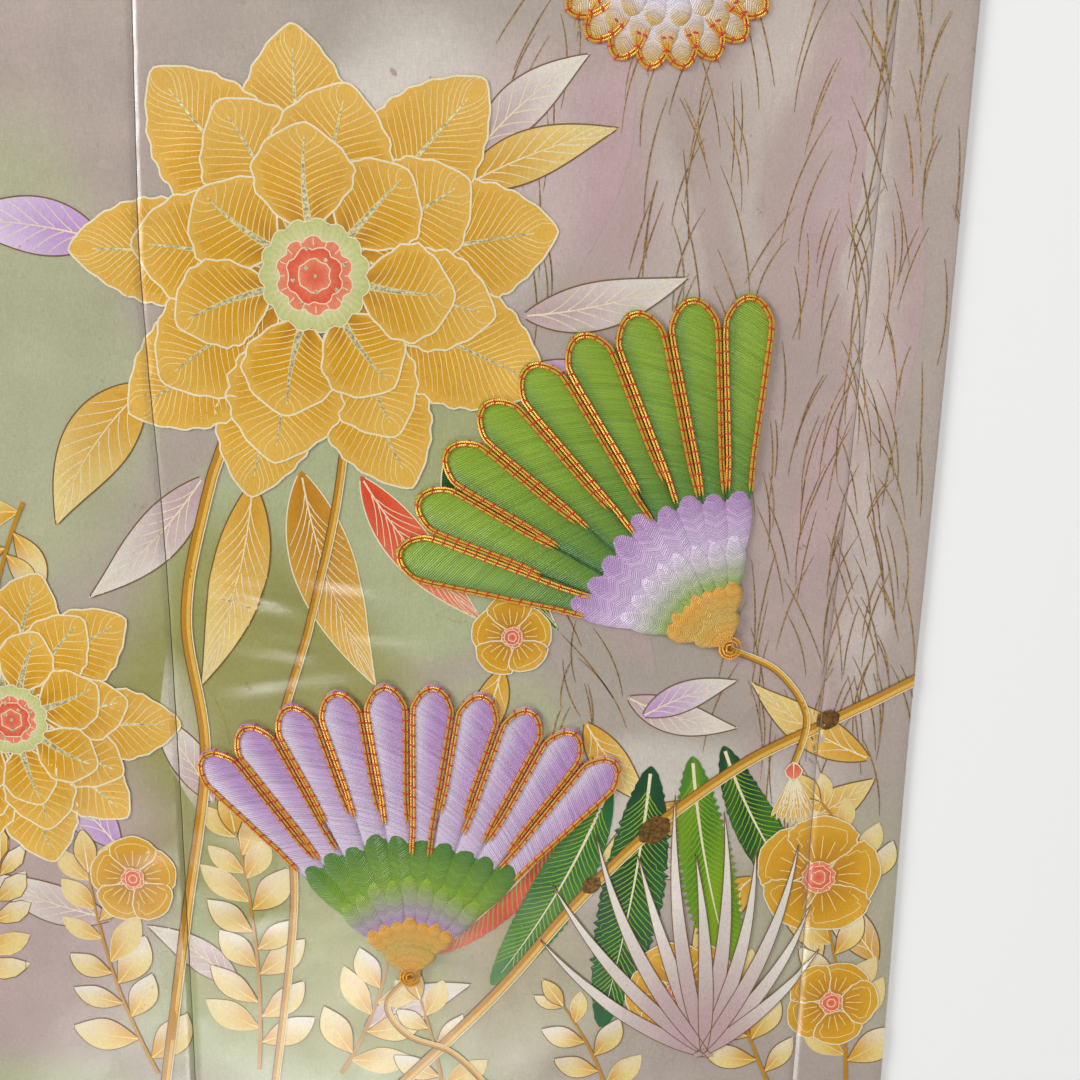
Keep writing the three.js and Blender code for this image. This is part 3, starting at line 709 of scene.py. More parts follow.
def directions(path):
    """Unit vectors along a path and to its left."""
    ahead = np.gradient(path, axis=0)
    ahead /= np.maximum(np.linalg.norm(ahead, axis=1, keepdims=True), 1e-9)
    return ahead, np.stack([-ahead[:, 1], ahead[:, 0]], -1)


def shifted(path, distance):
    """A path moved sideways."""
    return path + directions(path)[1] * distance


def resampled(rows, step):
    """Rows of x, y and what else they hold, at even steps of about that size along the path."""
    rows = np.asarray(rows, float)
    run = np.concatenate([[0], np.cumsum(np.linalg.norm(np.diff(rows[:, :2], axis=0), axis=1))])
    marks = np.linspace(0, run[-1], max(3, int(run[-1] / step) + 1))
    return np.stack([np.interp(marks, run, column) for column in rows.T], -1)


class Gathered:
    """Grids of points gathered into one mesh."""

    def __init__(self, grain):
        self.grain = grain         # size of a shape's facets
        self.points, self.faces, self.colours, self.extras = [], [], [], []
        self.count = 0

    def grid(self, points, colours, extra, around=False):
        """points: rows, columns, place. extra is a lift or the way of the threads."""
        rows, columns = points.shape[:2]
        ids = np.arange(rows * columns).reshape(rows, columns) + self.count
        if around:
            ids = np.concatenate([ids, ids[:, :1]], 1)
        quads = np.stack([ids[:-1, :-1], ids[1:, :-1], ids[1:, 1:], ids[:-1, 1:]], -1).reshape(-1, 4)
        extra = np.broadcast_to(extra, (rows, columns) + np.shape(extra)[2:])
        self.points.append(points.reshape(rows * columns, -1))
        self.faces.append(quads)
        self.colours.append(np.broadcast_to(colours, (rows, columns, 3)).reshape(-1, 3))
        self.extras.append(extra.reshape(rows * columns, -1))
        self.count += rows * columns


class Paint(Gathered):
    """Flat painted shapes, each with its lift off the cloth."""

    def fill(self, leaf, tone, lift, grain=None):
        grain = grain or self.grain
        rows = int(np.clip(leaf.length / grain, 6, 70))
        columns = 2 * int(np.clip(leaf.half.max() / grain, 1, 14)) + 1
        s = np.linspace(0.004, 0.996, rows)[:, None]
        t = np.linspace(-1, 1, columns)[None, :]
        s, t = np.broadcast_arrays(s, t)
        self.grid(leaf.point(s, t), tone(s[..., None], t[..., None]), lift)

    def line(self, path, width, colour, lift):
        """A ribbon along a path, of one width or a width for each point."""
        rows = resampled(np.column_stack([path, np.broadcast_to(width, len(path))]), self.grain)
        path, half = rows[:, :2], rows[:, 2:] / 2
        side = directions(path)[1] * half
        self.grid(np.stack([path - side, path + side], 1), colour, lift)

    def outline(self, leaf, width, colour, lift, points):
        up = np.linspace(0.02, 0.998, points)
        s = np.concatenate([up, np.linspace(0.998, 0.02, points)[1:]])
        t = np.concatenate([np.ones(points), -np.ones(points - 1)])
        t[points - 1] = 0
        self.line(leaf.point(s, t), width, colour, lift)

    def midrib(self, leaf, width, colour, lift, end=0.93):
        s = np.linspace(0.03, end, 16)
        self.line(leaf.point(s, 0), width * (1.05 - s), colour, lift)

    def veins(self, leaf, count, width, colour, lift, sweep, reach=0.9):
        """Side veins from the midrib towards both edges, slanting towards the tip."""
        out = np.linspace(0.05, reach, 6)
        for side in (-1, 1):
            for k in range(count):
                root = mix(0.08, 0.84, (k + 0.25 * (side + 1)) / count)
                s = np.minimum(root + sweep * out**0.75, 0.985)
                self.line(leaf.point(s, side * out), width * (1.2 - 0.6 * out), colour, lift)


BLADE_SLANT = math.radians(30)     # of the stitches across a blade
CORD_SIDES = 5


class Relief(Gathered):
    """Raised stitching, with the way its threads run."""

    def stitched(self, leaf, ground_z, rise, tone, lift):
        """Satin stitch over a leaf shape, domed from edge to edge."""
        s = np.linspace(0.01, 0.99, 26)[:, None]
        t = np.linspace(-1, 1, 9)[None, :]
        s, t = np.broadcast_arrays(s, t)
        flat = leaf.point(s, t)
        ends = np.minimum(1, np.minimum(s, 1 - s) * 9)
        dome = rise * np.sqrt(np.maximum(1 - t**2, 0)) * ends**0.5
        z = ground_z(flat[..., 0], flat[..., 1]) + lift + dome
        z = np.where(np.abs(t) == 1, z - lift - 0.05, z)
        across = t * np.interp(s, leaf.s, leaf.half)
        run = s * leaf.length
        c, d = math.cos(BLADE_SLANT), math.sin(BLADE_SLANT)
        way = np.stack([run * c - np.abs(across) * d, run * d + np.abs(across) * c], -1)
        self.grid(np.concatenate([flat, z[..., None]], -1), tone(s[..., None], t[..., None]), way)

    def cord(self, path, height, radius, colour):
        """A round thread laid along a path, closed at its ends."""
        path = resampled(path, self.grain)
        side = directions(path)[1]
        turn = np.arange(CORD_SIDES) * 2 * math.pi / CORD_SIDES
        size = np.full(len(path), radius)
        size[[0, -1]] *= 0.1
        z = height(path[:, 0], path[:, 1]) + radius
        ring = path[:, None, :] + side[:, None, :] * (size[:, None] * np.cos(turn))[..., None]
        tall = z[:, None] + size[:, None] * np.sin(turn)
        run = np.arange(len(path)) * self.grain
        way = np.stack(np.broadcast_arrays(run[:, None], turn[None, :]), -1)
        self.grid(np.concatenate([ring, tall[..., None]], -1), colour, way, around=True)

    def make(self, name, material, slot, sign):
        faces = np.concatenate(self.faces)
        if sign < 0:
            faces = faces[:, ::-1]
        piece = new_object(name, mirrored(np.concatenate(self.points), sign), faces, material,
                           np.concatenate(self.colours), np.concatenate(self.extras))


GOLD_THREAD = 0.47        # radius of a couched gold thread
PAIR_GAP = 0.56           # half the distance between the two threads of a pair
TIE_STEP = 4.2
TIE_HALF_WIDTH = 0.34
TIE_LEAN = 0.25           # how far a tie slants, as a share of its length
TIE_REACH = np.array([-1.3, -0.8, 0, 0.8, 1.3])
TIE_ARCH = np.array([0.0, 0.92, 1.08, 0.92, 0.0])


def couched(kit, path, height):
    """A pair of gold threads laid along a path and tied down with short red stitches."""
    path = resampled(path, kit.gold.grain)
    for side in (-1, 1):
        kit.gold.cord(shifted(path, side * PAIR_GAP), height, GOLD_THREAD, INK["thread_gold"])
    stops = resampled(path, TIE_STEP)
    ahead, across = directions(stops)
    for at, side, way in zip(stops[1:-1], across[1:-1], ahead[1:-1]):
        line = at + TIE_REACH[:, None] * (side + TIE_LEAN * way)
        z = (height(line[:, 0], line[:, 1]) + TIE_ARCH)[:, None]
        grid = np.stack([np.concatenate([line + way * aside, z + up], 1)
                         for aside, up in ((TIE_HALF_WIDTH, -0.05), (0, 0.12), (-TIE_HALF_WIDTH, -0.05))])
        kit.ties.grid(grid, INK["tie"], grid[..., :2])


SEAM_SLOT = 0.2           # half the width left bare along a seam
SEAM_STEPS = (-2.2, -1.0, -SEAM_SLOT, SEAM_SLOT, 1.0, 2.2)


def drape(paint, name, material, top, cuts, sign):
    """One mesh of painted shapes laid on the cloth, parted at its seams and ended at its edges.
    cuts are (outline, kind): "seam", or the side that is kept, "above" or "below" the outline's x."""
    mesh = bpy.data.meshes.new(name)
    flat = np.concatenate(paint.points)
    mesh.from_pydata(np.column_stack([flat, np.zeros(len(flat))]), [], np.concatenate(paint.faces))
    colour_points(mesh, np.concatenate(paint.colours))
    lifts = np.concatenate(paint.extras).astype(np.float32)
    mesh.attributes.new("lift", "FLOAT", "POINT").data.foreach_set("value", lifts.ravel())
    bm = bmesh.new()
    bm.from_mesh(mesh)

    def shift(outline, way):
        ys = np.array([v.co.y for v in bm.verts])
        for vert, x in zip(bm.verts, outline(ys)):
            vert.co.x += way * x

    def part(at, **clear):
        everything = bm.verts[:] + bm.edges[:] + bm.faces[:]
        plane = {"plane_co": (at, 0, 0), "plane_no": (1, 0, 0)}
        bmesh.ops.bisect_plane(bm, geom=everything, dist=1e-4, **plane, **clear)

    for outline, kind in cuts:
        shift(outline, -1)
        if kind == "seam":
            for at in SEAM_STEPS:
                part(at)
            slot_faces = [f for f in bm.faces if abs(f.calc_center_median().x) < SEAM_SLOT]
            bmesh.ops.delete(bm, geom=slot_faces, context="FACES")
        else:
            part(0, clear_inner=kind == "above", clear_outer=kind == "below")
        shift(outline, 1)
    bm.to_mesh(mesh)
    bm.free()
    flat = np.zeros(len(mesh.vertices) * 3)
    mesh.vertices.foreach_get("co", flat)
    flat = flat.reshape(-1, 3)
    lift = np.zeros(len(flat), np.float32)
    mesh.attributes["lift"].data.foreach_get("value", lift)
    flat[:, 2] = top(flat[:, 0], flat[:, 1]) + lift
    flat[:, 0] *= sign
    mesh.vertices.foreach_set("co", in_frame(flat).ravel())
    if sign < 0:
        mesh.flip_normals()
    mesh.attributes.remove(mesh.attributes["lift"])
    mesh.materials.append(material)
    mesh.shade_smooth()
    mesh.update()
    piece = link(name, mesh)
    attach(piece, "root")


def two_inks(low, high, begin, end):
    """Tone from one ink to another between two shares of a leaf's length."""
    return lambda s, t: mix(INK[low], INK[high], smooth(begin, end, s) + 0 * t)


class Kit:
    """What one area of the garment is decorated with: paint, metal leaf, floss, gold thread and its ties."""

    def __init__(self, seed, grain):
        self.paint, self.metal = Paint(grain), Paint(grain)
        self.floss, self.gold, self.ties = Relief(grain), Relief(grain), Relief(grain)
        self.rng = np.random.default_rng(seed)


def golden_petal(kit, leaf, lift, fine):
    """A golden petal with a metal midrib, cream veins and a pale rim. fine scales the detail."""
    warm, deep = kit.rng.uniform(-0.15, 0.2), kit.rng.uniform(0, 0.5)

    def tone(s, t):
        heart = mix(INK["deep_gold"], INK["gold"], smooth(0, 0.45, s + 0.1 * np.cos(9 * t)))
        body = mix(heart, INK["light_gold"], np.clip(0.9 * smooth(0.5, 0.98, s) + warm, 0, 1))
        border = smooth(0.8, 0.88, np.abs(t) + 0.05 * np.cos(s * leaf.length * 0.9))
        return mix(body, INK["light_gold"], (0.85 - 0.4 * deep) * border)

    kit.paint.fill(leaf, tone, lift)
    kit.paint.outline(leaf, 0.7, INK["cream"], lift + 0.03, points=int(46 * fine))
    veins = max(4, int(leaf.length / 3.3 * fine))
    kit.paint.veins(leaf, veins, 0.34, INK["light_cream"], lift + 0.025, 0.2, reach=0.86)
    kit.paint.midrib(leaf, 3.1, INK["light_cream"], lift + 0.035, end=0.88)
    kit.metal.midrib(leaf, 2.3, INK["silver_gold"], lift + 0.045, end=0.86)


def flower_heart(kit, x, y, radius, lift, green):
    """A coral heart with cream lines in rings of small lobes, in a scalloped pale-green ring if large."""
    turns = np.linspace(0, 2 * math.pi, 91)
    rays = 16 if green else 8
    rings = [(1.5, "cream", "ring_green", 15, 0.09, 0.0)] if green else []
    rings += [(1.05, "coral", "peach", 10, 0.14, 0.03), (0.78, "peach", "coral", 8, 0.15, 0.06),
              (0.46, "coral", "peach", 6, 0.16, 0.09)]
    for reach, inner, outer, lobes, depth, up in rings:
        edge = radius * reach * (1 - depth * np.abs(np.cos(lobes * turns / 2)) ** 5)
        share = np.linspace(0.02, 1, 7)[:, None]
        px, py = x + share * edge * np.cos(turns), y + share * edge * np.sin(turns)
        streak = 0.25 * np.abs(np.sin(lobes * turns * 1.5))
        tones = mix(INK[inner], INK[outer], np.clip(share**2 + streak, 0, 1)[..., None])
        kit.paint.grid(np.stack([px, py], -1), tones, lift + up)
        rim = np.stack([x + edge * np.cos(turns), y + edge * np.sin(turns)], -1)
        kit.paint.line(rim, 0.42 if green else 0.32, INK["cream"], lift + up + 0.015)
    for k in range(rays):
        turn = k * 2 * math.pi / rays
        reach = np.linspace(0.8, 0.98, 4) * radius
        line = np.stack([x + reach * math.cos(turn), y + reach * math.sin(turn)], -1)
        kit.paint.line(line, 0.32, INK["cream"], lift + 0.05)
    for k in range(9 if green else 0):
        turn, reach = k * 2.4, radius * 0.3 * math.sqrt(k)
        dot = Leaf(x + reach * math.cos(turn) - 0.8, y + reach * math.sin(turn), 0, 1.7, 1.6)
        kit.metal.fill(dot, lambda s, t: INK["silver_gold"] + 0 * s, lift + 0.12, grain=0.6)


# Rings of petals from the outside in: petals, length and width as shares of the reach, lift
PETAL_RINGS = [(9, 1.0, 0.44, 0.42), (8, 0.74, 0.42, 0.54), (7, 0.5, 0.36, 0.66)]


def golden_flower(kit, x, y, reach, turn, fine, rings):
    """A large open flower: rings of long toothed petals round a coral heart."""
    start = reach * 0.2
    for ring, (count, share, width, lift) in enumerate(PETAL_RINGS[:rings]):
        for k in range(count):
            angle = turn + ring * 17 + k * 360 / count + kit.rng.uniform(-5, 5)
            length = (reach - start) * share * kit.rng.uniform(0.9, 1.06)
            a = math.radians(angle)
            petal = Leaf(x + start * 0.8 * math.cos(a), y + start * 0.8 * math.sin(a), angle, length,
                         reach * width * kit.rng.uniform(0.9, 1.1), bend=kit.rng.uniform(-26, 26),
                         widest=0.54, blunt=0.78, teeth=max(3, round(length / 7)), bite=0.1)
            step = 2 if k == count - 1 else k % 2
            golden_petal(kit, petal, lift + 0.035 * step, fine)
    flower_heart(kit, x, y, reach * 0.145, 0.78, green=True)


BLOSSOM_PETALS = 5
BLOSSOM_LIFT = 0.42


def blossom(kit, x, y, reach, turn):
    """A small golden blossom: broad notched petals with a scalloped second line inside their rims."""
    for k in range(BLOSSOM_PETALS):
        angle = turn + k * 360 / BLOSSOM_PETALS + kit.rng.uniform(-6, 6)
        a = math.radians(angle)
        leaf = Leaf(x + reach * 0.14 * math.cos(a), y + reach * 0.14 * math.sin(a), angle,
                    reach * kit.rng.uniform(0.82, 1.0), reach * 1.12, widest=0.6, blunt=0.7,
                    teeth=6, bite=0.12, bend=kit.rng.uniform(-16, 16))
        rim = kit.rng.uniform(0.0, 0.45)
        step = 2 if k == BLOSSOM_PETALS - 1 else k % 2
        lift = BLOSSOM_LIFT + 0.05 * step

        def tone(s, t):
            body = mix(INK["deep_gold"], INK["gold"], smooth(0, 0.8, s))
            return mix(body, INK["light_gold"], np.clip(rim * smooth(0.45, 1, s) + 0.25 * t**2, 0, 1))

        kit.paint.fill(leaf, tone, lift)
        kit.paint.outline(leaf, 0.5, INK["cream"], lift + 0.025, points=24)
        s = np.concatenate([np.linspace(0.35, 0.8, 12), np.linspace(0.8, 0.35, 12)])
        t = np.concatenate([np.full(12, 0.7), np.full(12, -0.7)]) * (1 - 0.9 * smooth(0.74, 0.8, s))
        kit.paint.line(leaf.point(s, t + 0.06 * np.sin(s * 60)), 0.36, INK["light_cream"], lift + 0.025)
        for t in (-0.35, 0, 0.35):
            ray = leaf.point(np.linspace(0.2, 0.62 - 0.3 * abs(t), 5), t)
            kit.paint.line(ray, 0.36, INK["light_cream"], lift + 0.025)
    flower_heart(kit, x, y, reach * 0.27, 0.58, green=False)


PALE = ("white", "pale_lilac", "pale_gold")     # tips that need a dark outline


def plain_leaf(kit, leaf, base, tip, lift, veins=0, rim=0.5):
    """A leaf painted from one ink at its base to another at its tip."""
    def tone(s, t):
        return mix(INK[base], INK[tip], np.clip(0.85 * smooth(0.1, 0.95, s) + 0.25 * np.abs(t), 0, 1))

    kit.paint.fill(leaf, tone, lift)
    edge = INK["brown_line" if tip in PALE else "cream"]
    kit.paint.outline(leaf, rim, edge, lift + 0.025, points=int(max(20, leaf.length / 2.2)))
    kit.paint.midrib(leaf, 0.7, INK["cream"], lift + 0.025)
    kit.paint.veins(leaf, veins, 0.32, INK["cream"], lift + 0.025, 0.24)


SPRAY_LIFT = 0.2


def spray(kit, x, y, heading, length, bend, leaflets, size):
    """A spray of pale leaflets in loose pairs, washed from gold to cream."""
    stem = Leaf(x, y, heading, length, 1, bend=bend)
    for k in range(leaflets):
        for side in (-1, 1):
            share = mix(0.14, 0.94, (k + kit.rng.uniform(-0.2, 0.2) + 0.2 * side) / (leaflets - 1))
            share = float(np.clip(share, 0.05, 0.97))
            at = stem.point(share, 0)
            way = stem.heading(share)
            grow = size * (1.15 - 0.4 * share) * kit.rng.uniform(0.82, 1.15)
            leaf = Leaf(at[0], at[1], way + side * (60 - 24 * share + kit.rng.uniform(-9, 9)), grow,
                        grow * kit.rng.uniform(0.4, 0.52), bend=-side * kit.rng.uniform(12, 34), widest=0.52)
            up = SPRAY_LIFT + 0.035 * (k % 2) + 0.017 * (side + 1)
            pale = kit.rng.uniform(0.1, 1.0)

            def tone(s, t):
                body = mix(INK["gold"], INK["pale_gold"], smooth(0.0, 0.7, s + 0.25 * side * t))
                return mix(body, INK["white"], np.clip(pale * smooth(0.25, 1.0, s - 0.3 * side * t), 0, 1))

            kit.paint.fill(leaf, tone, up)
            edge = INK["brown_line" if pale > 0.5 else "light_cream"]
            kit.paint.outline(leaf, 0.36, edge, up + 0.02, points=16)
            kit.paint.midrib(leaf, 0.55, INK["light_cream"], up + 0.02)
    last = Leaf(*stem.point(0.97, 0), stem.heading(1), size * 0.8, size * 0.36)
    plain_leaf(kit, last, "gold", "pale_gold", SPRAY_LIFT + 0.08, rim=0.4)
    s = np.linspace(0, 1, 24)
    kit.paint.line(stem.point(s, 0), 1.7 - 0.9 * s, INK["ochre"], SPRAY_LIFT + 0.1)


WILLOW_LIFT = 0.12


def willow(kit, x, y, heading, length, bend, pairs, size):
    """A hanging frond drawn in single fine strokes that leave its stem to both sides."""
    stem = Leaf(x, y, heading, length, 1, bend=bend)
    run = np.linspace(0, 1, 11)
    for k in range(2 * pairs):
        side = 1 if k % 2 else -1
        share = float(np.clip((k + kit.rng.uniform(-0.7, 0.7)) / (2 * pairs), 0, 1))
        at = stem.point(share, 0)
        cos, sin = np.interp(share, stem.s, stem.cos), np.interp(share, stem.s, stem.sin)
        way = math.degrees(math.atan2(sin, cos))
        grow = size * kit.rng.uniform(0.7, 1.2)
        open_angle, curl = side * kit.rng.uniform(6, 27), -side * kit.rng.uniform(6, 36)
        for twin in range(1 + (kit.rng.random() < 0.35)):
            aside = side * (kit.rng.uniform(0.4, 5.0) + 2.3 * twin)
            stroke = Leaf(at[0] - aside * sin, at[1] + aside * cos, way + open_angle,
                          grow * (1 - 0.3 * twin), 1, bend=curl)
            width = 0.52 * np.sin(np.pi * np.clip(run, 0.04, 0.96)) ** 0.5
            ink = INK["stroke"] * kit.rng.uniform(1.0, 1.5)
            kit.metal.line(stroke.point(run, 0), width, ink, WILLOW_LIFT)


WASH_LIFT = 0.07


def wash(kit, leaf, ink, strength, clear_side):
    """A soft stroke of dye, with one clear edge and the other fading into the ground."""
    s = np.linspace(0.01, 0.99, int(max(8, leaf.length / 3)))[:, None]
    t = np.linspace(-1, 1, 7)[None, :]
    s, t = np.broadcast_arrays(s, t)
    spots = leaf.point(s, t)
    amount = strength * smooth(-1, 0.8, clear_side * t) * smooth(0, 0.3, s) * smooth(0, 0.2, 1 - s)
    dyed = mix(ground(spots[..., 0], spots[..., 1]), INK[ink], amount[..., None])
    kit.paint.grid(spots, dyed, WASH_LIFT)


THIN_CORD = 2.5    # thinner cords pass over the others
CORD_LIFT = 0.36
THIN_CORD_LIFT = 0.4


def ribbon_cord(kit, points, width):
    """A painted silk cord through given points, smooth between them."""
    lift = CORD_LIFT if width > THIN_CORD else THIN_CORD_LIFT
    points = np.asarray(points, float)
    marks = np.arange(len(points))
    fine = np.linspace(0, len(points) - 1, 16 * (len(points) - 1) + 1)
    path = np.stack([catmull(marks, points[:, k], fine) for k in (0, 1)], -1)
    kit.paint.line(path, width, INK["ochre"], lift)
    kit.paint.line(shifted(path, width * 0.18), width * 0.34, INK["light_gold"], lift + 0.02)
    kit.paint.line(shifted(path, width * 0.5), 0.4, INK["cream"], lift + 0.03)
    kit.paint.line(shifted(path, -width * 0.5), 0.4, INK["brown_line"], lift + 0.03)


def catmull(marks, values, at):
    """Smooth curve through evenly marked values."""
    i = np.clip(np.floor(at).astype(int), 0, len(marks) - 2)
    t = at - i
    before, after = np.maximum(i - 1, 0), np.minimum(i + 2, len(marks) - 1)
    a, b, c, d = values[before], values[i], values[i + 1], values[after]
    return 0.5 * (2 * b + (c - a) * t + (2 * a - 5 * b + 4 * c - d) * t**2 + (3 * b - a - 3 * c + d) * t**3)


TASSEL_LIFT = 0.3
HALF_SKIRT = 4             # strands to each side of a tassel's middle one


def tassel(kit, x, y, heading, length):
    """A painted tassel: a knot and a skirt of threads."""
    for k in range(2 * HALF_SKIRT + 1):
        aside = k - HALF_SKIRT
        strand = Leaf(x, y, heading + aside * 5.5, length * (1 - 0.02 * abs(aside)), length * 0.09,
                      bend=aside * 3, widest=0.7)
        plain_leaf(kit, strand, "deep_gold", "light_gold", TASSEL_LIFT + 0.02 * (k % 3), rim=0.35)
    a = math.radians(heading)
    knot = Leaf(x - 3 * math.cos(a), y - 3 * math.sin(a), heading, 8, 7)
    plain_leaf(kit, knot, "coral", "peach", TASSEL_LIFT + 0.1)


# Raised fans: pivot, reach, first and last angle, slats; then inks of slats and of inner blades, and side
FANS = {
    "fan_green": (205, -1356, 132, 84, 168, 9, ("leaf", "lime"), ("pale_lilac", "lilac"), 1),
    "fan_lilac": (80, -1494, 124, 44, 134, 10, ("pale_lilac", "lilac"), ("lime", "leaf"), 1),
    "fan_sleeve_left": (535, -945, 150, 50, 130, 9, ("pale_lilac", "lilac"), ("lime", "leaf"), 1),
    "fan_sleeve_right": (540, -925, 150, 58, 138, 9, ("leaf", "lime"), ("pale_lilac", "lilac"), -1),
}
FAN_HUB = 16               # radius within which a fan has no slats
FAN_VALLEY = 0.95          # height of the stitching between two slats
FAN_RIDGE = 1.95           # height along the middle of a slat
FAN_NOTCH = 12             # how far a slat's end falls back at its sides
FAN_SLANT = math.radians(28)
FAN_INSET = 1.3            # of the gold thread from a slat's side
# Rings of blades round the pivot: start, length, width, lift
FAN_BLADES = [(20, 46, 11, 0.1), (14, 30, 9, 0.45), (8, 18, 8.5, 0.8), (2, 13, 7.5, 1.1)]
RIVET_RINGS = (0.6, 1.8, 3.0, 4.2)
RIVET_HEIGHT = 2.6
SLAT_COLUMNS = 12
FINE_GRAIN = 3             # a kit below this grain is seen close up
FINE_ROWS, COARSE_ROWS = 46, 28


def fan_dome(t, ends):
    """Height of a slat's stitching across it, lower towards its ends."""
    return FAN_VALLEY + (FAN_RIDGE - FAN_VALLEY) * np.maximum(1 - t**2, 0) ** 0.55 * mix(0.35, 1, ends)


def fan_thickness(fan, x, y):
    """How high a fan stands on the cloth at a point, 0 outside it."""
    px, py, reach, first, last, slats = fan[:6]
    radius = np.hypot(x - px, y - py)
    angle = np.degrees(np.arctan2(y - py, x - px))
    place = (angle - first) / (last - first) * slats
    t = (place - np.floor(place)) * 2 - 1
    tip = reach - FAN_NOTCH * np.abs(t) ** 2.2
    inside = (place > 0) & (place < slats) & (radius > FAN_HUB) & (radius < tip)
    ends = smooth(0, 9, tip - radius) * smooth(0, 10, radius - FAN_HUB)
    return np.where(inside, fan_dome(t, ends), 0)


def fan_piece(kit, name, top):
    """A slatted fan in satin stitch, with couched gold round its slats and short blades round its pivot."""
    fan = FANS[name]
    px, py, reach, first, last, slats, inks, inner_inks, sign = fan
    turns = np.linspace(0, 1, slats * SLAT_COLUMNS + 1)
    signed = ((turns * slats) % 1) * 2 - 1
    t = np.abs(signed)
    rows = FINE_ROWS if kit.paint.grain < FINE_GRAIN else COARSE_ROWS
    out = np.linspace(0, 1, rows)[:, None] ** 0.9
    radius = FAN_HUB + 0.02 + (reach - FAN_NOTCH * t**2.2 - FAN_HUB - 0.04) * out
    angle = np.radians(mix(first, last, mix(0.0005, 0.9995, turns)))[None, :]
    x, y = px + radius * np.cos(angle), py + radius * np.sin(angle)
    ends = smooth(0, 1, (1 - out) * 14) * smooth(0, 1, out * 12)
    base = top(x, y) + 0.05
    outer = np.stack([x, y, base + fan_dome(t, ends)], -1)
    inner = np.stack([x, y, base], -1)
    slat = np.minimum((turns * slats).astype(int), slats - 1)
    vary = kit.rng.uniform(-0.12, 0.12, slats)[slat][None, :, None]
    blend = np.clip(smooth(0.15, 0.95, out)[..., None] + vary, 0, 1)
    colours = mix(INK[inks[0]], INK[inks[1]], blend)
    if inks[0] == "leaf":
        # Painted shade: the green slats turn to emerald towards their sides, where the valleys between slats
        # lie, most near the pivot; they also darken along one side of each slat.
        deep = np.clip(0.75 * (t**2)[None, :, None] * (1 - 0.8 * out[..., None])
                       + 0.35 * smooth(0.2, 0.6, signed)[None, :, None], 0, 1)
        colours = mix(colours, INK["emerald"], deep)
    else:
        light = 0.75 * smooth(-0.3, 0.8, signed)[None, :, None] * smooth(0.1, 0.9, out)[..., None]
        colours = mix(colours, INK["thread_white"], light)
    offset = ((turns * slats) % 1 - 0.5) * np.radians((last - first) / slats) * radius
    c, d = math.cos(FAN_SLANT), math.sin(FAN_SLANT)
    threads = np.stack([radius * c - offset * d, radius * d + offset * c], -1)
    piece = closed_sheet(name + "_stitched", mirrored(outer, sign), mirrored(inner, sign), FLOSS,
                         colours, np.concatenate([threads.reshape(-1, 2)] * 2))
    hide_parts(name)

    def at(turn, r):
        """A point of the fan at a share of its angle and a radius."""
        a = np.radians(mix(first, last, turn))
        return np.stack([px + r * np.cos(a), py + r * np.sin(a)], -1)

    for k in range(slats):
        start = mix(0.42, 0.6, kit.rng.random())
        up = np.linspace(start * reach, reach - FAN_NOTCH - 4, 16)
        narrow = np.minimum(FAN_INSET, (up - up[0]) * 0.06 + 0.6)
        per_mm = 1 / (np.radians(last - first) * up)
        left = at(k / slats + narrow * per_mm, up)
        right = at((k + 1) / slats - narrow * per_mm, up)
        bow = np.linspace(-0.84, 0.84, 15)
        tip = at((k + 0.5 + bow / 2) / slats, reach - 1.4 - FAN_NOTCH * np.abs(bow) ** 2.2)
        path = np.concatenate([left, tip, right[::-1]])
        couched(kit, path, lambda x, y: top(x, y) + 0.05 + fan_thickness(fan, x, y))
    blade_inks = [(slats, inner_inks), (slats - 1, (inks[1], inner_inks[0])),
                  (7, ("cream_gold", "thread_gold")), (6, ("thread_gold", "cream_gold"))]
    for (begin, length, width, lift), (count, (low, high)) in zip(FAN_BLADES, blade_inks):
        for k in range(count):
            turn = (k + 0.5) / count
            blade = Leaf(*at(turn, begin), mix(first, last, turn), length * kit.rng.uniform(0.93, 1.05),
                         width, bend=kit.rng.uniform(-6, 6), widest=0.68, blunt=0.7)
            tone = two_inks(low, high, 0.2, 1)
            kit.floss.stitched(blade, lambda x, y: top(x, y) + FAN_VALLEY + 0.3, 0.75, tone,
                               lift + 0.08 * (k % 2))
    ring = np.linspace(0, 2 * math.pi, 20)
    for size in RIVET_RINGS:
        circle = at(0.5, 0) + size * np.stack([np.cos(ring), np.sin(ring)], -1)
        kit.gold.cord(circle, lambda x, y: top(x, y) + RIVET_HEIGHT - 0.25 * size, 0.6, INK["thread_gold"])


def floss_look():
    """Silk floss laid side by side: thread ridges, painted shade in the grooves between them, streaks of tone
    and a bright sheen.
    """
    look = Look("floss", 0.36, Sheen_Weight=0.3, Sheen_Roughness=0.3, Specular_IOR_Level=0.8)
    thread = look.attribute("thread", "Vector")
    streaks = look.noise(1, vector=thread, detail=2, stretch=(1.5, 0.035, 1))
    ridges = look.add("ShaderNodeTexWave", {"Vector": thread, "Scale": 0.42, "Distortion": 1.6,
                                            "Detail": 1.5, "Detail Scale": 2.0}).outputs["Fac"]
    tone = look.levels(streaks, 0.25, 0.75, 0.8, 1.25)
    paint = look.shade(look.attribute("paint", "Color"), tone)
    # Painted shade: the colour is darker in the grooves between the thread ridges.
    shade = look.shade(paint, look.levels(ridges, 0.0, 0.45, 0.8, 1.0))
    normal = look.bump(ridges, 0.00022, 0.9)
    normal = look.bump(streaks, 0.0003, 0.8, normal)
    return look.done(shade, normal)


def metal_look():
    """Metal leaf on paste: bright and dull flakes."""
    look = Look("metal_leaf", 0.34, Metallic=0.55)
    flakes = look.noise(900, detail=2)
    tone = look.levels(flakes, 0.36, 0.66, 0.6, 1.6)
    shade = look.shade(look.attribute("paint", "Color"), tone)
    return look.done(shade, look.bump(flakes, 0.00009, 0.8))


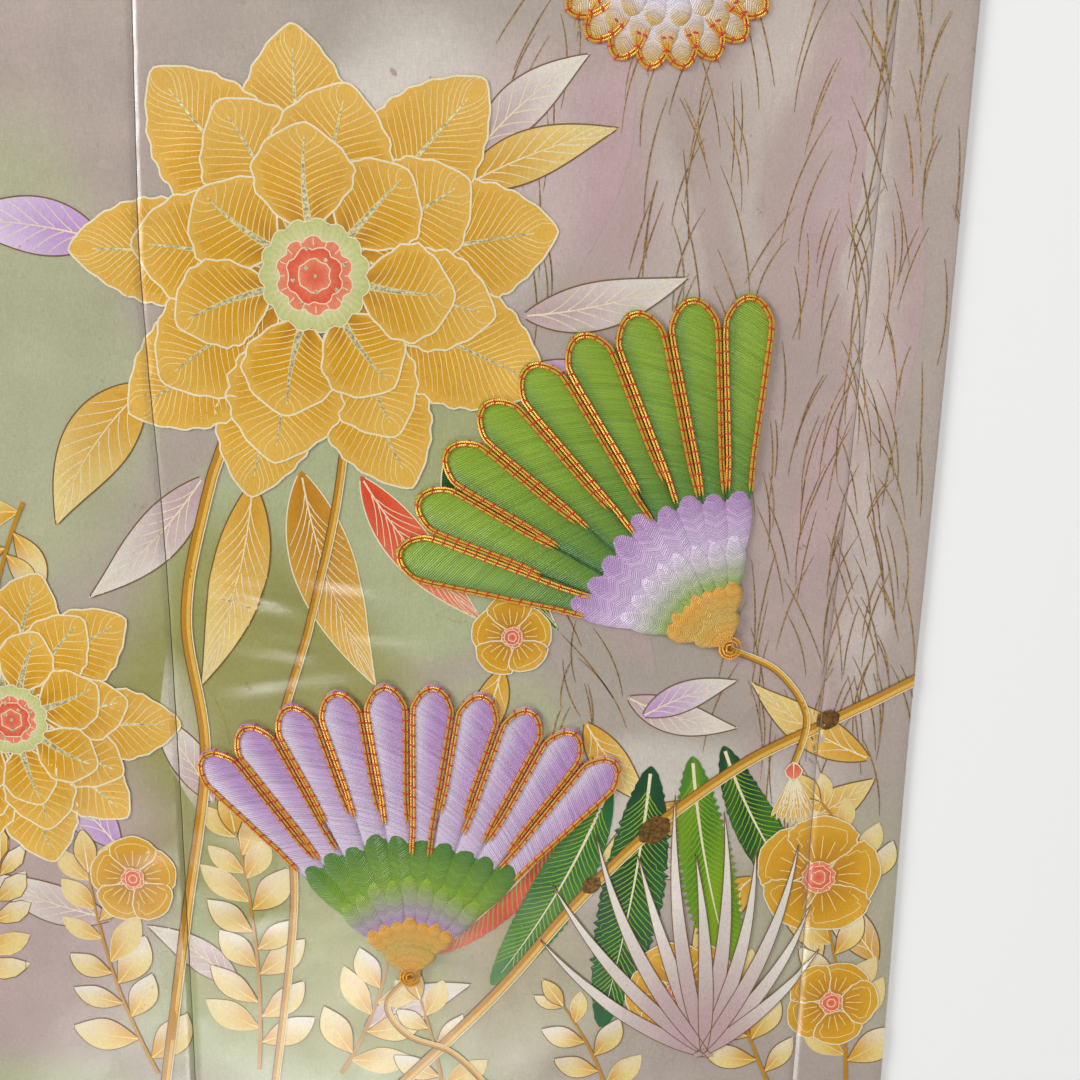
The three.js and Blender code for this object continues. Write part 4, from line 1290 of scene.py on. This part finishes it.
def gold_thread_look():
    """Thread wrapped in gold paper: a slanting wrap with painted shade in its grooves and painted highlight
    on its turns, and a metal gleam.
    """
    look = Look("gold_thread", 0.34, Metallic=0.45, Specular_IOR_Level=0.8)
    thread = look.attribute("thread", "Vector")
    wrap = look.add("ShaderNodeTexWave", {"Vector": thread, "Scale": 0.5, "Distortion": 0.6}).outputs["Fac"]
    # Painted shade and highlight: the colour is darker in the wrap's grooves and brighter on its raised
    # turns, as its bump runs.
    shade = look.shade(look.attribute("paint", "Color"), look.levels(wrap, 0.0, 1.0, 0.72, 1.3))
    return look.done(shade, look.bump(wrap, 0.00015, 0.8))


def tie_look():
    look = Look("tie_thread", 0.5, Sheen_Weight=0.2)
    return look.done(look.attribute("paint", "Color"), look.bump(look.noise(2600, detail=1), 0.00008, 0.6))


FLOSS = floss_look()
METAL = metal_look()
GOLD = gold_thread_look()
TIES = tie_look()
PAINTED = silk_look("painted_silk")


# The collar round the neck, from its left front to the centre back: y, x, lift off the cloth and turn
NECK = [
    (-120, 79.7, 0, 0), (-104, 80.4, 8, 1), (-88, 80.9, 20, 3), (-72, 81.3, 35, 6), (-57, 81.6, 52, 12),
    (-44, 81.6, 68, 22), (-33, 80.8, 80, 36), (-27, 76.6, 83, 52), (-24.5, 68.0, 77, 66),
    (-25, 55.0, 67, 78), (-27.4, 30.0, 53, 87), (-28.6, 0.0, 47, 90),
]
NECK_STEPS = 4


def collar_half(end):
    """Stations of the collar's left half: x, y, lift, turn."""
    y = np.arange(end, NECK[0][0] - 4, 8.0)
    flat = np.stack([collar_seam(y) - HALF_GAP, y, 0 * y, 0 * y], -1)
    rows = np.array(NECK, float)[:, [1, 0, 2, 3]]
    at = np.linspace(0, len(rows) - 1, NECK_STEPS * (len(rows) - 1) + 1)
    marks = np.arange(len(rows))
    return np.concatenate([flat, np.stack([catmull(marks, rows[:, k], at) for k in range(4)], -1)])


UPRIGHT = (0, 30)          # lifts in degrees between which a collar leaves the cloth


def band(name, end, section):
    """A strip of one section swept round the neck."""
    half = collar_half(end)
    right = half[-2::-1] * (-1, 1, 1, 1)
    rows = np.concatenate([half, right])
    sign = np.where(np.arange(len(rows)) < len(half), 1.0, -1.0)
    x, y = rows[:, 0], rows[:, 1]
    lift, turn = np.radians(np.clip(rows[:, 2], 0, 90)), np.radians(rows[:, 3])
    ahead = np.zeros((len(rows), 3))
    ahead[:, :2] = np.gradient(rows[:, :2], axis=0)
    ahead /= np.linalg.norm(ahead, axis=1, keepdims=True)
    lying = np.stack([-ahead[:, 1], ahead[:, 0]], -1)
    rising = np.stack([-sign * np.cos(turn), np.sin(turn)], -1)
    plan = mix(lying, rising, smooth(0, 8, rows[:, 2])[:, None])
    plan /= np.linalg.norm(plan, axis=1, keepdims=True)
    width = np.column_stack([plan * np.cos(lift)[:, None], np.sin(lift)])
    out = np.cross(ahead, width)
    out /= np.linalg.norm(out, axis=1, keepdims=True)
    aside = np.maximum(0, sign * out[:, 0]) * OVER_THICK * (np.abs(y) > 30)
    base = np.stack([x - sign * aside, y, PITCH + OVER_THICK * np.maximum(0, -out[:, 2])], -1)
    section = np.array(section, float)
    points = (base[:, None] + width[:, None] * section[None, :, :1] + out[:, None] * section[None, :, 1:])
    level = np.where(sign[:, None] > 0, left_front(points[..., 0], points[..., 1]),
                     right_front(-points[..., 0], points[..., 1]))
    points[..., 2] += (level - PITCH) * (1 - smooth(*UPRIGHT, rows[:, 2]))[:, None]
    count, around = points.shape[:2]
    ids = np.arange(count * around).reshape(count, around)
    ring = np.concatenate([ids, ids[:, :1]], 1)
    quads = np.stack([ring[:-1, :-1], ring[:-1, 1:], ring[1:, 1:], ring[1:, :-1]], -1).reshape(-1, 4)
    centred = points.reshape(-1, 3) - points.reshape(-1, 3).mean(0)
    caps = [ids[0, ::-1].tolist(), ids[-1].tolist()]
    if volume(centred, quads) < 0:
        quads = quads[:, ::-1]
        caps = [cap[::-1] for cap in caps]
    colours = mix(ground(points[..., 0], points[..., 1]), INK["white"], 0.25)
    piece = new_object("cloth_" + name, points, quads.tolist() + caps, COLLAR_SILK, colours)
    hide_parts(name)


def collar_cloth():
    """The collar, its strip folded lengthwise with both edges at the seam."""
    t, edge = COLLAR_THICK, COLLAR_WIDTH - FOLD_OUT
    steps = np.linspace(0, edge, 9)
    section = [(u, 0) for u in steps] + [(COLLAR_WIDTH - 0.3, 0.4), (COLLAR_WIDTH, t / 2)]
    section += [(COLLAR_WIDTH - 0.3, t - 0.4)] + [(u, t) for u in steps[::-1]]
    section += [(u, t - WALL) for u in steps] + [(u, WALL) for u in steps[::-1]]
    band("collar", COLLAR_END, section)


def over_collar_cloth():
    """The over-collar, over the collar's outer face and round its fold."""
    t = COLLAR_THICK + GAP
    inner = COLLAR_WIDTH + GAP
    outer = inner + WALL
    steps = np.linspace(0, inner, 9)
    section = [(u, t) for u in steps] + [(inner, 0), (outer, 0), (outer, t + WALL - 0.45)]
    section += [(outer - 0.14, t + WALL - 0.14), (outer - 0.45, t + WALL)]
    section += [(u, t + WALL) for u in steps[::-1]]
    band("over_collar", OVER_COLLAR_END, section)


def leaf_rows(kit, rows):
    for x, y, heading, length, width, bend, base, tip, veins, lift in rows:
        leaf = Leaf(x, y, heading, length, width, bend=bend, widest=0.42)
        plain_leaf(kit, leaf, base, tip, lift, veins)


def fringed(kit, rows):
    """Long leaves with a combed edge."""
    for x, y, heading, length, width, bend, base, tip, lift in rows:
        leaf = Leaf(x, y, heading, length, width, bend=bend, widest=0.5, blunt=0.6,
                    teeth=round(length / 3.2), bite=0.3)

        def tone(s, t):
            return mix(INK[base], INK[tip], np.clip(s * 0.8 + 0.25 * np.sin(13 * s + 3 * t), 0, 1))

        kit.paint.fill(leaf, tone, lift, grain=1.6)
        kit.paint.midrib(leaf, 1.3, INK["cream"], lift + 0.03)
        kit.paint.veins(leaf, int(length / 3.4), 0.4, INK["lime"], lift + 0.03, 0.1, reach=0.95)


def decorate(kit, plan):
    """All the motifs of a plan. Their order settles the random draws."""
    for x, y, heading, length, width, bend, ink, strength in plan.get("washes", ()):
        leaf = Leaf(x, y, heading, length, width, bend=bend, widest=0.55)
        wash(kit, leaf, ink, strength, 1 if bend > 0 else -1)
    for row in plan.get("willow", ()):
        willow(kit, *row)
    leaf_rows(kit, plan.get("leaves", ()))
    fringed(kit, plan.get("fringed", ()))
    for kind, draw in (("sprays", spray), ("cords", ribbon_cord), ("golden", golden_flower),
                       ("blossoms", blossom), ("tassels", tassel)):
        for row in plan.get(kind, ()):
            draw(kit, *row)


# Motifs of each area. Cords: points, width. Golden: x, y, reach, turn, detail, rings.
# Blossoms: x, y, reach, turn. All others begin with x, y and heading, and go on as follows.
# Washes: length, width, bend, ink, strength. Willow: length, bend, pairs, size.
# Sprays: length, bend, leaflets, size. Tassels: length.
# Leaves: length, width, bend, inks of base and tip, veins, lift. Fringed: the same without veins.
LEFT_PLAN = {
    "washes": [
        (160, -1110, -100, 110, 34, 16, "rose", 0.7), (196, -1104, -88, 120, 30, -12, "pink", 0.9),
        (238, -1108, -96, 130, 36, 14, "rose", 0.75), (262, -1160, -92, 120, 24, 8, "rose", 0.6),
        (246, -1240, -94, 110, 30, -12, "rose", 0.6),
        (140, -1310, -60, 70, 24, 20, "rose", 0.6), (215, -1380, -96, 70, 22, 10, "pink", 0.7),
        (130, -1290, -150, 60, 20, 14, "moss", 0.7), (20, -1400, -100, 90, 34, 12, "moss", 0.8),
        (-10, -1350, -80, 80, 26, -14, "white", 0.5), (60, -1392, -10, 70, 16, 10, "white", 0.6),
    ],
    "willow": [
        (146, -1094, -100, 130, 14, 8, 36), (172, -1076, -88, 190, -14, 11, 40),
        (204, -1066, -94, 220, 12, 12, 40),
        (234, -1074, -88, 260, -8, 15, 40), (262, -1082, -93, 300, 4, 17, 38),
        (226, -1190, -96, 190, 12, 9, 36),
        (250, -1250, -86, 150, -12, 8, 36), (280, -1120, -94, 260, 4, 9, 34),
        (128, -1300, -78, 74, 20, 5, 30), (222, -1318, -84, 120, 14, 6, 34),
        (148, -1345, -95, 64, -20, 4, 26),
    ],
    "golden": [(52, -1218, 92, 12, 1.0, 3), (-72, -1385, 66, 40, 0.8, 3)],
    "blossoms": [(244, -1452, 25, 10), (190, -1502, 22, 40), (252, -1508, 18, 70), (122, -1352, 15, 20),
                 (-30, -1452, 17, 20)],
    "sprays": [
        (16, -1538, 90, 108, 16, 7, 27), (-26, -1540, 106, 96, -20, 6, 25), (50, -1540, 66, 62, 24, 4, 24),
        (92, -1548, 100, 44, 10, 3, 22),
        (260, -1544, 98, 84, 14, 5, 24), (228, -1546, 110, 56, -14, 4, 22), (160, -1548, 112, 44, 20, 3, 20),
        (266, -1458, 118, 46, 20, 4, 20), (-60, -1300, 250, 60, 20, 5, 20), (-90, -1200, 80, 90, -10, 6, 22),
    ],
    "leaves": [
        (44, -1288, -76, 88, 24, 20, "deep_gold", "light_gold", 14, 0.13),
        (26, -1292, -104, 84, 21, -20, "gold", "pale_gold", 11, 0.17),
        (66, -1290, -54, 72, 17, 20, "orange", "peach", 11, 0.15),
        (8, -1290, -132, 66, 18, -20, "rose", "white", 8, 0.11),
        (98, -1282, -62, 80, 22, 26, "dark_emerald", "leaf", 11, 0.19),
        (-10, -1256, -130, 66, 24, 30, "gold", "pale_gold", 8, 0.13),
        (-22, -1206, 170, 56, 20, 20, "lilac", "pale_lilac", 7, 0.13),
        (124, -1252, -16, 58, 18, -20, "lilac", "white", 7, 0.13),
        (126, -1232, 10, 62, 17, 20, "rose", "white", 7, 0.17),
        (110, -1176, 42, 52, 16, -20, "rose", "white", 6, 0.13),
        (104, -1188, 22, 60, 17, -16, "gold", "pale_gold", 7, 0.17),
        (-34, -1440, 130, 60, 19, 20, "lilac", "white", 7, 0.13),
        (-40, -1470, 160, 56, 17, -14, "rose", "white", 7, 0.17),
        (262, -1402, 150, 58, 16, -24, "gold", "pale_gold", 6, 0.13),
        (196, -1420, 210, 50, 15, 20, "ochre", "pale_gold", 6, 0.13),
        (10, -1500, 140, 46, 14, 20, "rose", "white", 6, 0.13),
        (36, -1440, 64, 52, 16, -20, "gold", "white", 7, 0.13),
        (4, -1420, 118, 46, 15, 20, "rose", "white", 6, 0.13),
        (60, -1520, 28, 50, 16, -20, "rose", "white", 6, 0.13),
        (270, -1490, 128, 44, 15, 20, "gold", "white", 6, 0.13),
        (166, -1376, -20, 46, 14, 24, "rose", "white", 6, 0.13),
        (150, -1386, -56, 44, 14, 20, "gold", "pale_gold", 6, 0.16),
        (172, -1384, 24, 40, 12, -20, "lilac", "white", 6, 0.17),
        (118, -1364, -110, 40, 13, -20, "gold", "pale_gold", 6, 0.13),
        (218, -1452, -130, 40, 16, 20, "gold", "pale_gold", 6, 0.13),
        (230, -1456, -60, 38, 15, -20, "gold", "pale_gold", 6, 0.13),
        (196, -1446, 175, 34, 14, -20, "rose", "white", 5, 0.13),
        (236, -1428, 30, 34, 14, 20, "gold", "pale_gold", 5, 0.13),
    ],
    "fringed": [
        (176, -1404, -98, 116, 25, -10, "dark_emerald", "emerald", 0.24),
        (192, -1400, -80, 104, 21, 14, "leaf", "lime", 0.32),
        (160, -1412, -116, 100, 21, -18, "emerald", "leaf", 0.28),
        (204, -1396, -64, 84, 18, 22, "dark_emerald", "leaf", 0.26),
        (146, -1424, -130, 84, 17, -20, "red_orange", "orange", 0.22),
    ],
    "cords": [
        (((284, -1366), (246, -1386), (212, -1404), (178, -1430), (146, -1464), (112, -1506),
        (60, -1560)), 4.2),
        (((205, -1357), (224, -1366), (236, -1384), (232, -1404)), 2.4),
        (((80, -1495), (70, -1508), (78, -1522), (96, -1530), (110, -1545)), 2.4),
        (((20, -1268), (8, -1300), (-2, -1345), (2, -1400), (-10, -1470), (-26, -1560)), 4.0),
        (((62, -1268), (56, -1304), (44, -1350), (30, -1400), (34, -1460), (20, -1560)), 3.0),
    ],
    "tassels": [(232, -1406, -88, 24), (111, -1546, -60, 28)],
}
# Small marks of age: x, y, size, strength
STAINS = [
    (82, -1150, 2.2, 0.5), (96, -1152, 1.4, 0.45), (108, -1306, 2.6, 0.4), (20, -1372, 1.8, 0.5),
    (28, -1396, 2.0, 0.5), (150, -1236, 1.6, 0.4), (212, -1196, 1.3, 0.4), (232, -1318, 1.6, 0.4),
    (196, -1384, 1.5, 0.45), (128, -1394, 1.6, 0.4), (60, -1404, 2.2, 0.35), (240, -1402, 1.4, 0.4),
    (142, -1322, 1.2, 0.5), (8, -1232, 1.5, 0.4), (174, -1340, 1.4, 0.35),
]
# Grass blades from one tuft: heading, length, bend
TUFT = (200, -1532)
BLADES = [(148, 92, -34), (134, 104, -26), (120, 112, -30), (110, 96, -10), (100, 118, -18), (92, 92, 12),
          (84, 110, 20), (74, 96, 26), (64, 104, 30), (52, 84, 34), (40, 72, 30)]
UPPER_PLAN = {
    "golden": [(150, -880, 84, 5, 0.4, 2), (235, -520, 70, 30, 0.4, 2), (120, -1602, 40, 20, 0.5, 2)],
    "blossoms": [(250, -1040, 20, 30), (90, -760, 22, 0), (180, -640, 18, 20), (205, -300, 24, 40),
                 (150, -210, 17, 5), (30, -1596, 20, 15), (-100, -1590, 22, 35), (205, -1600, 24, 50)],
    "sprays": [(100, -980, 60, 90, 30, 6, 24), (220, -760, 250, 80, 10, 6, 24),
               (150, -560, 100, 90, 20, 6, 24),
               (250, -330, 70, 70, 10, 5, 22), (-100, -1500, 70, 60, 20, 5, 20),
               (-120, -1140, 70, 70, 10, 5, 20)],
    "cords": [(((270, -900), (230, -930), (200, -1000), (215, -1060)), 3.2)],
    "willow": [(120, -420, -92, 180, 8, 12, 34), (270, -700, -94, 200, -6, 12, 34)],
}
RIGHT_PLAN = {
    "willow": [(200, -1080, -92, 200, 8, 14, 34), (240, -1060, -90, 240, -8, 16, 34)],
    "golden": [(222, -1330, 56, 20, 0.5, 2), (232, -900, 50, 5, 0.4, 2), (250, -560, 46, 30, 0.4, 2)],
    "blossoms": [(200, -1440, 22, 10), (245, -1480, 18, 30), (215, -1590, 22, 10), (235, -730, 20, 0),
                 (200, -330, 24, 20), (150, -230, 18, 40), (250, -1180, 18, 10)],
    "sprays": [(190, -1560, 80, 80, 10, 6, 22), (250, -1600, 100, 70, -10, 5, 20),
               (210, -1000, 70, 80, 20, 6, 22),
               (220, -480, 250, 70, 10, 5, 22), (240, -260, 230, 60, 20, 5, 20)],
    "leaves": [(215, -1385, -90, 60, 15, 14, "emerald", "leaf", 5, 0.16),
               (238, -1380, -70, 50, 13, 20, "orange", "peach", 5, 0.2)],
    "cords": [(((262, -1100), (235, -1160), (250, -1230), (220, -1280)), 3.2)],
}
SLEEVE_PLAN = {
    "willow": [(380, -300, -92, 260, 8, 18, 36), (430, -260, -90, 300, -6, 20, 36),
               (600, -420, -92, 260, 8, 18, 36),
               (640, -500, -94, 240, 6, 16, 36)],
    "golden": [(420, -700, 74, 12, 0.5, 2), (590, -560, 60, 40, 0.4, 2), (430, -990, 56, 10, 0.5, 2),
               (560, -190, 60, 20, 0.4, 2)],
    "blossoms": [(610, -740, 22, 10), (480, -600, 20, 40), (380, -880, 20, 20), (600, -1010, 24, 0),
                 (400, -160, 22, 10), (630, -330, 20, 30), (520, -1030, 19, 20)],
    "sprays": [(500, -1040, 60, 70, 16, 6, 22), (640, -1000, 100, 80, -10, 6, 22),
               (370, -1040, 80, 70, 10, 5, 20),
               (520, -480, 100, 90, 10, 6, 24), (450, -420, 250, 70, 10, 5, 22),
               (620, -120, 230, 60, 20, 5, 20)],
    "leaves": [(470, -760, -60, 70, 17, 16, "dark_emerald", "leaf", 6, 0.16),
               (450, -770, -90, 66, 15, -12, "orange", "peach", 6, 0.2),
               (590, -640, -100, 60, 15, 16, "lilac", "white", 6, 0.16)],
    "cords": [(((535, -946), (550, -975), (530, -1005), (560, -1050)), 3.0),
              (((660, -640), (600, -680), (500, -700), (400, -620)), 3.2)],
}


BLADE_LIFT = 0.7


def blades(kit):
    """Grass blades in pinkish white over the leaves."""
    for k, (heading, length, bend) in enumerate(BLADES):
        leaf = Leaf(TUFT[0] + 0.9 * (5 - k), TUFT[1], heading, length, 6.2, bend=bend, widest=0.3)
        lift = BLADE_LIFT + 0.04 * (k % 3)
        kit.paint.fill(leaf, two_inks("rose", "white", 0.1, 0.8), lift)
        kit.paint.outline(leaf, 0.36, INK["brown_line"], lift + 0.02, points=36)


# A half rosette at the top of the view: x, y, lobes of its outer row and their length
ROSETTE = (176, -1112, 8, 30)
ROSETTE_ROWS = 3


def rosette(kit, top):
    """Rows of stitched cream lobes, the outer ones edged with couched gold."""
    x, y, count, length = ROSETTE
    for row in range(ROSETTE_ROWS):
        for k in range(count - row):
            heading = -160 + 140 * (k + 0.5) / (count - row)
            a = math.radians(heading)
            reach = length * (0.55 + 0.45 * (2 - row) / 2)
            lobe = Leaf(x + 9 * math.cos(a), y + 7 * math.sin(a), heading, reach, length * 0.36,
                        widest=0.68, blunt=0.6)
            tone = two_inks("thread_white", "cream_gold", 0.5, 1)
            kit.floss.stitched(lobe, top, 0.8, tone, 0.1 + 0.3 * row + 0.08 * (k % 2))
            if row == 0:
                s = np.concatenate([np.linspace(0.5, 0.99, 8), np.linspace(0.99, 0.5, 8)])
                t = np.concatenate([np.full(8, 1.04), np.full(8, -1.04)])
                couched(kit, lobe.point(s, t), lambda x, y: top(x, y) + 0.35)


STAIN = linear("8a5a24")


def stains(kit):
    """Marks of age, each of three overlapping spots."""
    for x, y, size, strength in STAINS:
        for k in range(3):
            spot = Leaf(x + kit.rng.uniform(-2, 2), y + kit.rng.uniform(-1.5, 1.5), kit.rng.uniform(0, 180),
                        size * kit.rng.uniform(0.6, 1.2), size * 0.6, blunt=0.5)

            def tone(s, t):
                return mix(ground(x + 0 * s[..., 0], y + 0 * t[..., 0]), STAIN, strength)

            kit.paint.fill(spot, tone, 0.1 + 0.01 * k, grain=0.6)


# Knots on the painted branch: x, y, heading, length, width
KNOTS = [(172, -1436, 40, 15, 11), (240, -1388, 28, 10, 8), (150, -1458, 45, 9, 7)]


def knots(kit):
    for x, y, heading, length, width in KNOTS:
        knot = Leaf(x, y, heading, length, width, blunt=0.5, teeth=4, bite=0.2)
        kit.metal.fill(knot, lambda s, t: INK["brown_line"] + 0 * s + 0 * t, 0.41)


# How far painted shapes stay from the edges of the cloth
FROM_COLLAR = 0.8
FROM_EDGE = 0.5
FROM_FOLD = 0.4
FROM_LEFT_FRONT = 1.5
FROM_SLEEVE_EDGE = 1


def left_edge(y):
    return np.where(y > COLLAR_END, collar_seam(y) + FROM_COLLAR, overlap_edge(y) + FROM_EDGE)


def right_edge(y):
    """Where the right front comes out from under the left front."""
    return np.maximum(-overlap_edge(y) + FROM_LEFT_FRONT, collar_seam(y) + FROM_COLLAR)


def fold_edge(y):
    return side_fold(y) - FROM_FOLD


def sleeve_inner_edge(y):
    return SLEEVE_X + FROM_SLEEVE_EDGE + 0 * y


def sleeve_outer_edge(y):
    return SLEEVE_X + SLEEVE_WIDTH - FROM_SLEEVE_EDGE + 0 * y


FRONT_CUTS = [(overlap_seam, "seam"), (side_seam, "seam"), (left_edge, "above"), (fold_edge, "below")]
RIGHT_CUTS = [(side_seam, "seam"), (right_edge, "above"), (fold_edge, "below")]
SLEEVE_CUTS = [(sleeve_inner_edge, "above"), (sleeve_outer_edge, "below")]
# Each area: seed of its random draws, grain, plan, upper face, cuts, side and fans
AREAS = {
    "upper_left": (10, 5, UPPER_PLAN, left_top, FRONT_CUTS, 1, ()),
    "left_front": (11, 2.2, LEFT_PLAN, left_top, FRONT_CUTS, 1, ("fan_green", "fan_lilac")),
    "right_front": (12, 5.5, RIGHT_PLAN, right_top, RIGHT_CUTS, -1, ()),
    "sleeve_left": (13, 5.5, SLEEVE_PLAN, sleeve_top, SLEEVE_CUTS, 1, ("fan_sleeve_left",)),
    "sleeve_right": (14, 5.5, SLEEVE_PLAN, sleeve_top, SLEEVE_CUTS, -1, ("fan_sleeve_right",)),
}


def finish_kit(kit, area, top, cuts, sign):
    """Makes the pieces of an area from what its kit has gathered."""
    drape(kit.paint, "painting_" + area, PAINTED, top, cuts, sign)
    drape(kit.metal, "metal_leaf_" + area, METAL, top, cuts, sign)
    if kit.floss.count:
        kit.floss.make("stitched_blades_" + area, FLOSS, "lilac_embroidery", sign)
        kit.gold.make("couched_gold_" + area, GOLD, "green_embroidery", sign)
        kit.ties.make("tie_stitches_" + area, TIES, "green_embroidery", sign)


def decorate_all():
    for area, (seed, grain, plan, top, cuts, sign, fans) in AREAS.items():
        kit = Kit(seed, grain)
        decorate(kit, plan)
        if plan is LEFT_PLAN:
            blades(kit)
            stains(kit)
            knots(kit)
            rosette(kit, top)
        for fan in fans:
            fan_piece(kit, fan, top)
        finish_kit(kit, area, top, cuts, sign)


FLOOR_REACH = 3.0
FLOOR_DEPTH = -0.0004


def make_floor():
    look = Look("floor", 0.8)
    look.shader.inputs["Base Color"].default_value = (*linear("fdfcfa"), 1)
    mesh = bpy.data.meshes.new("floor")
    signs = [(-1, -1), (1, -1), (1, 1), (-1, 1)]
    corners = [(x * FLOOR_REACH, y * FLOOR_REACH, FLOOR_DEPTH) for x, y in signs]
    mesh.from_pydata(corners, [], [(0, 1, 2, 3)])
    mesh.materials.append(look.material)
    link("floor", mesh)


CAMERA_PLACE = (132.5, -1236, 401)
CAMERA_LEAN = math.radians(-11.14)
LENS = SENSOR = 36


def make_camera():
    """Looks down at the hem of the left front from 40 cm, leaning towards the hem."""
    camera = bpy.data.cameras.new("camera")
    camera.sensor_width = SENSOR
    camera.lens = LENS
    camera.clip_start = 0.01
    seat = link("camera", camera)
    seat.location = in_frame(np.array(CAMERA_PLACE))
    seat.rotation_euler = (CAMERA_LEAN, 0, 0)
    bpy.context.scene.camera = seat


# Soft lights: place and aim in millimetres, width, height in metres, power
LIGHTS = [
    ("key", (-1900, -420, 1250), (130, -1200, 0), 1.0, 1.0, 38),
    ("gloss", (-430, -3120, 1900), (130, -1300, 0), 0.8, 0.8, 16),
    ("fill", (1700, -1300, 1900), (130, -1000, 0), 2.0, 2.0, 8),
    ("top", (100, 300, 2300), (130, -800, 0), 2.4, 1.8, 15),
]
# Brightness of the studio's walls by the sine of the height above the floor
WALLS = [(0.0, 0.86), (0.3, 0.76), (0.55, 0.16), (1.0, 0.14)]


WALL_TINT = (0.96, 0.98, 1)


def make_world():
    """Pale walls round the floor, with a dimmer ceiling."""
    world = bpy.data.worlds.new("studio")
    world.use_nodes = True
    tree = world.node_tree
    place = tree.nodes.new("ShaderNodeTexCoord")
    parts = tree.nodes.new("ShaderNodeSeparateXYZ")
    ramp = tree.nodes.new("ShaderNodeValToRGB")
    for stop, (height, grey) in enumerate(WALLS):
        elements = ramp.color_ramp.elements
        element = elements[stop] if stop < 2 else elements.new(height)
        element.position = height
        element.color = (*(grey * part for part in WALL_TINT), 1)
    tree.links.new(place.outputs["Generated"], parts.inputs[0])
    tree.links.new(parts.outputs["Z"], ramp.inputs[0])
    tree.links.new(ramp.outputs[0], tree.nodes["Background"].inputs["Color"])
    bpy.context.scene.world = world


def make_lights():
    for name, place, aim, width, height, power in LIGHTS:
        light = bpy.data.lights.new(name, "AREA")
        light.shape = "RECTANGLE"
        light.size, light.size_y = width, height
        light.energy = power
        lamp = link(name, light)
        lamp.location = in_frame(np.array(place))
        lamp.rotation_euler = Vector(np.subtract(aim, place)).to_track_quat("-Z", "Y").to_euler()
    make_world()
    bpy.context.scene.view_settings.view_transform = "Standard"


make_floor()
make_camera()
make_lights()
body_cloth("body_left", 1, left_front, left_top, left_flap, ("shown", "beneath"))
body_cloth("body_right", -1, right_front, right_top, right_flap, ("plain", "far"))
overlap_cloth("overlap_left", 1, left_front, left_top, "shown")
overlap_cloth("overlap_right", -1, right_front, right_top, "far")
sleeve_cloth("sleeve_left", 1)
sleeve_cloth("sleeve_right", -1)
collar_cloth()
over_collar_cloth()
decorate_all()
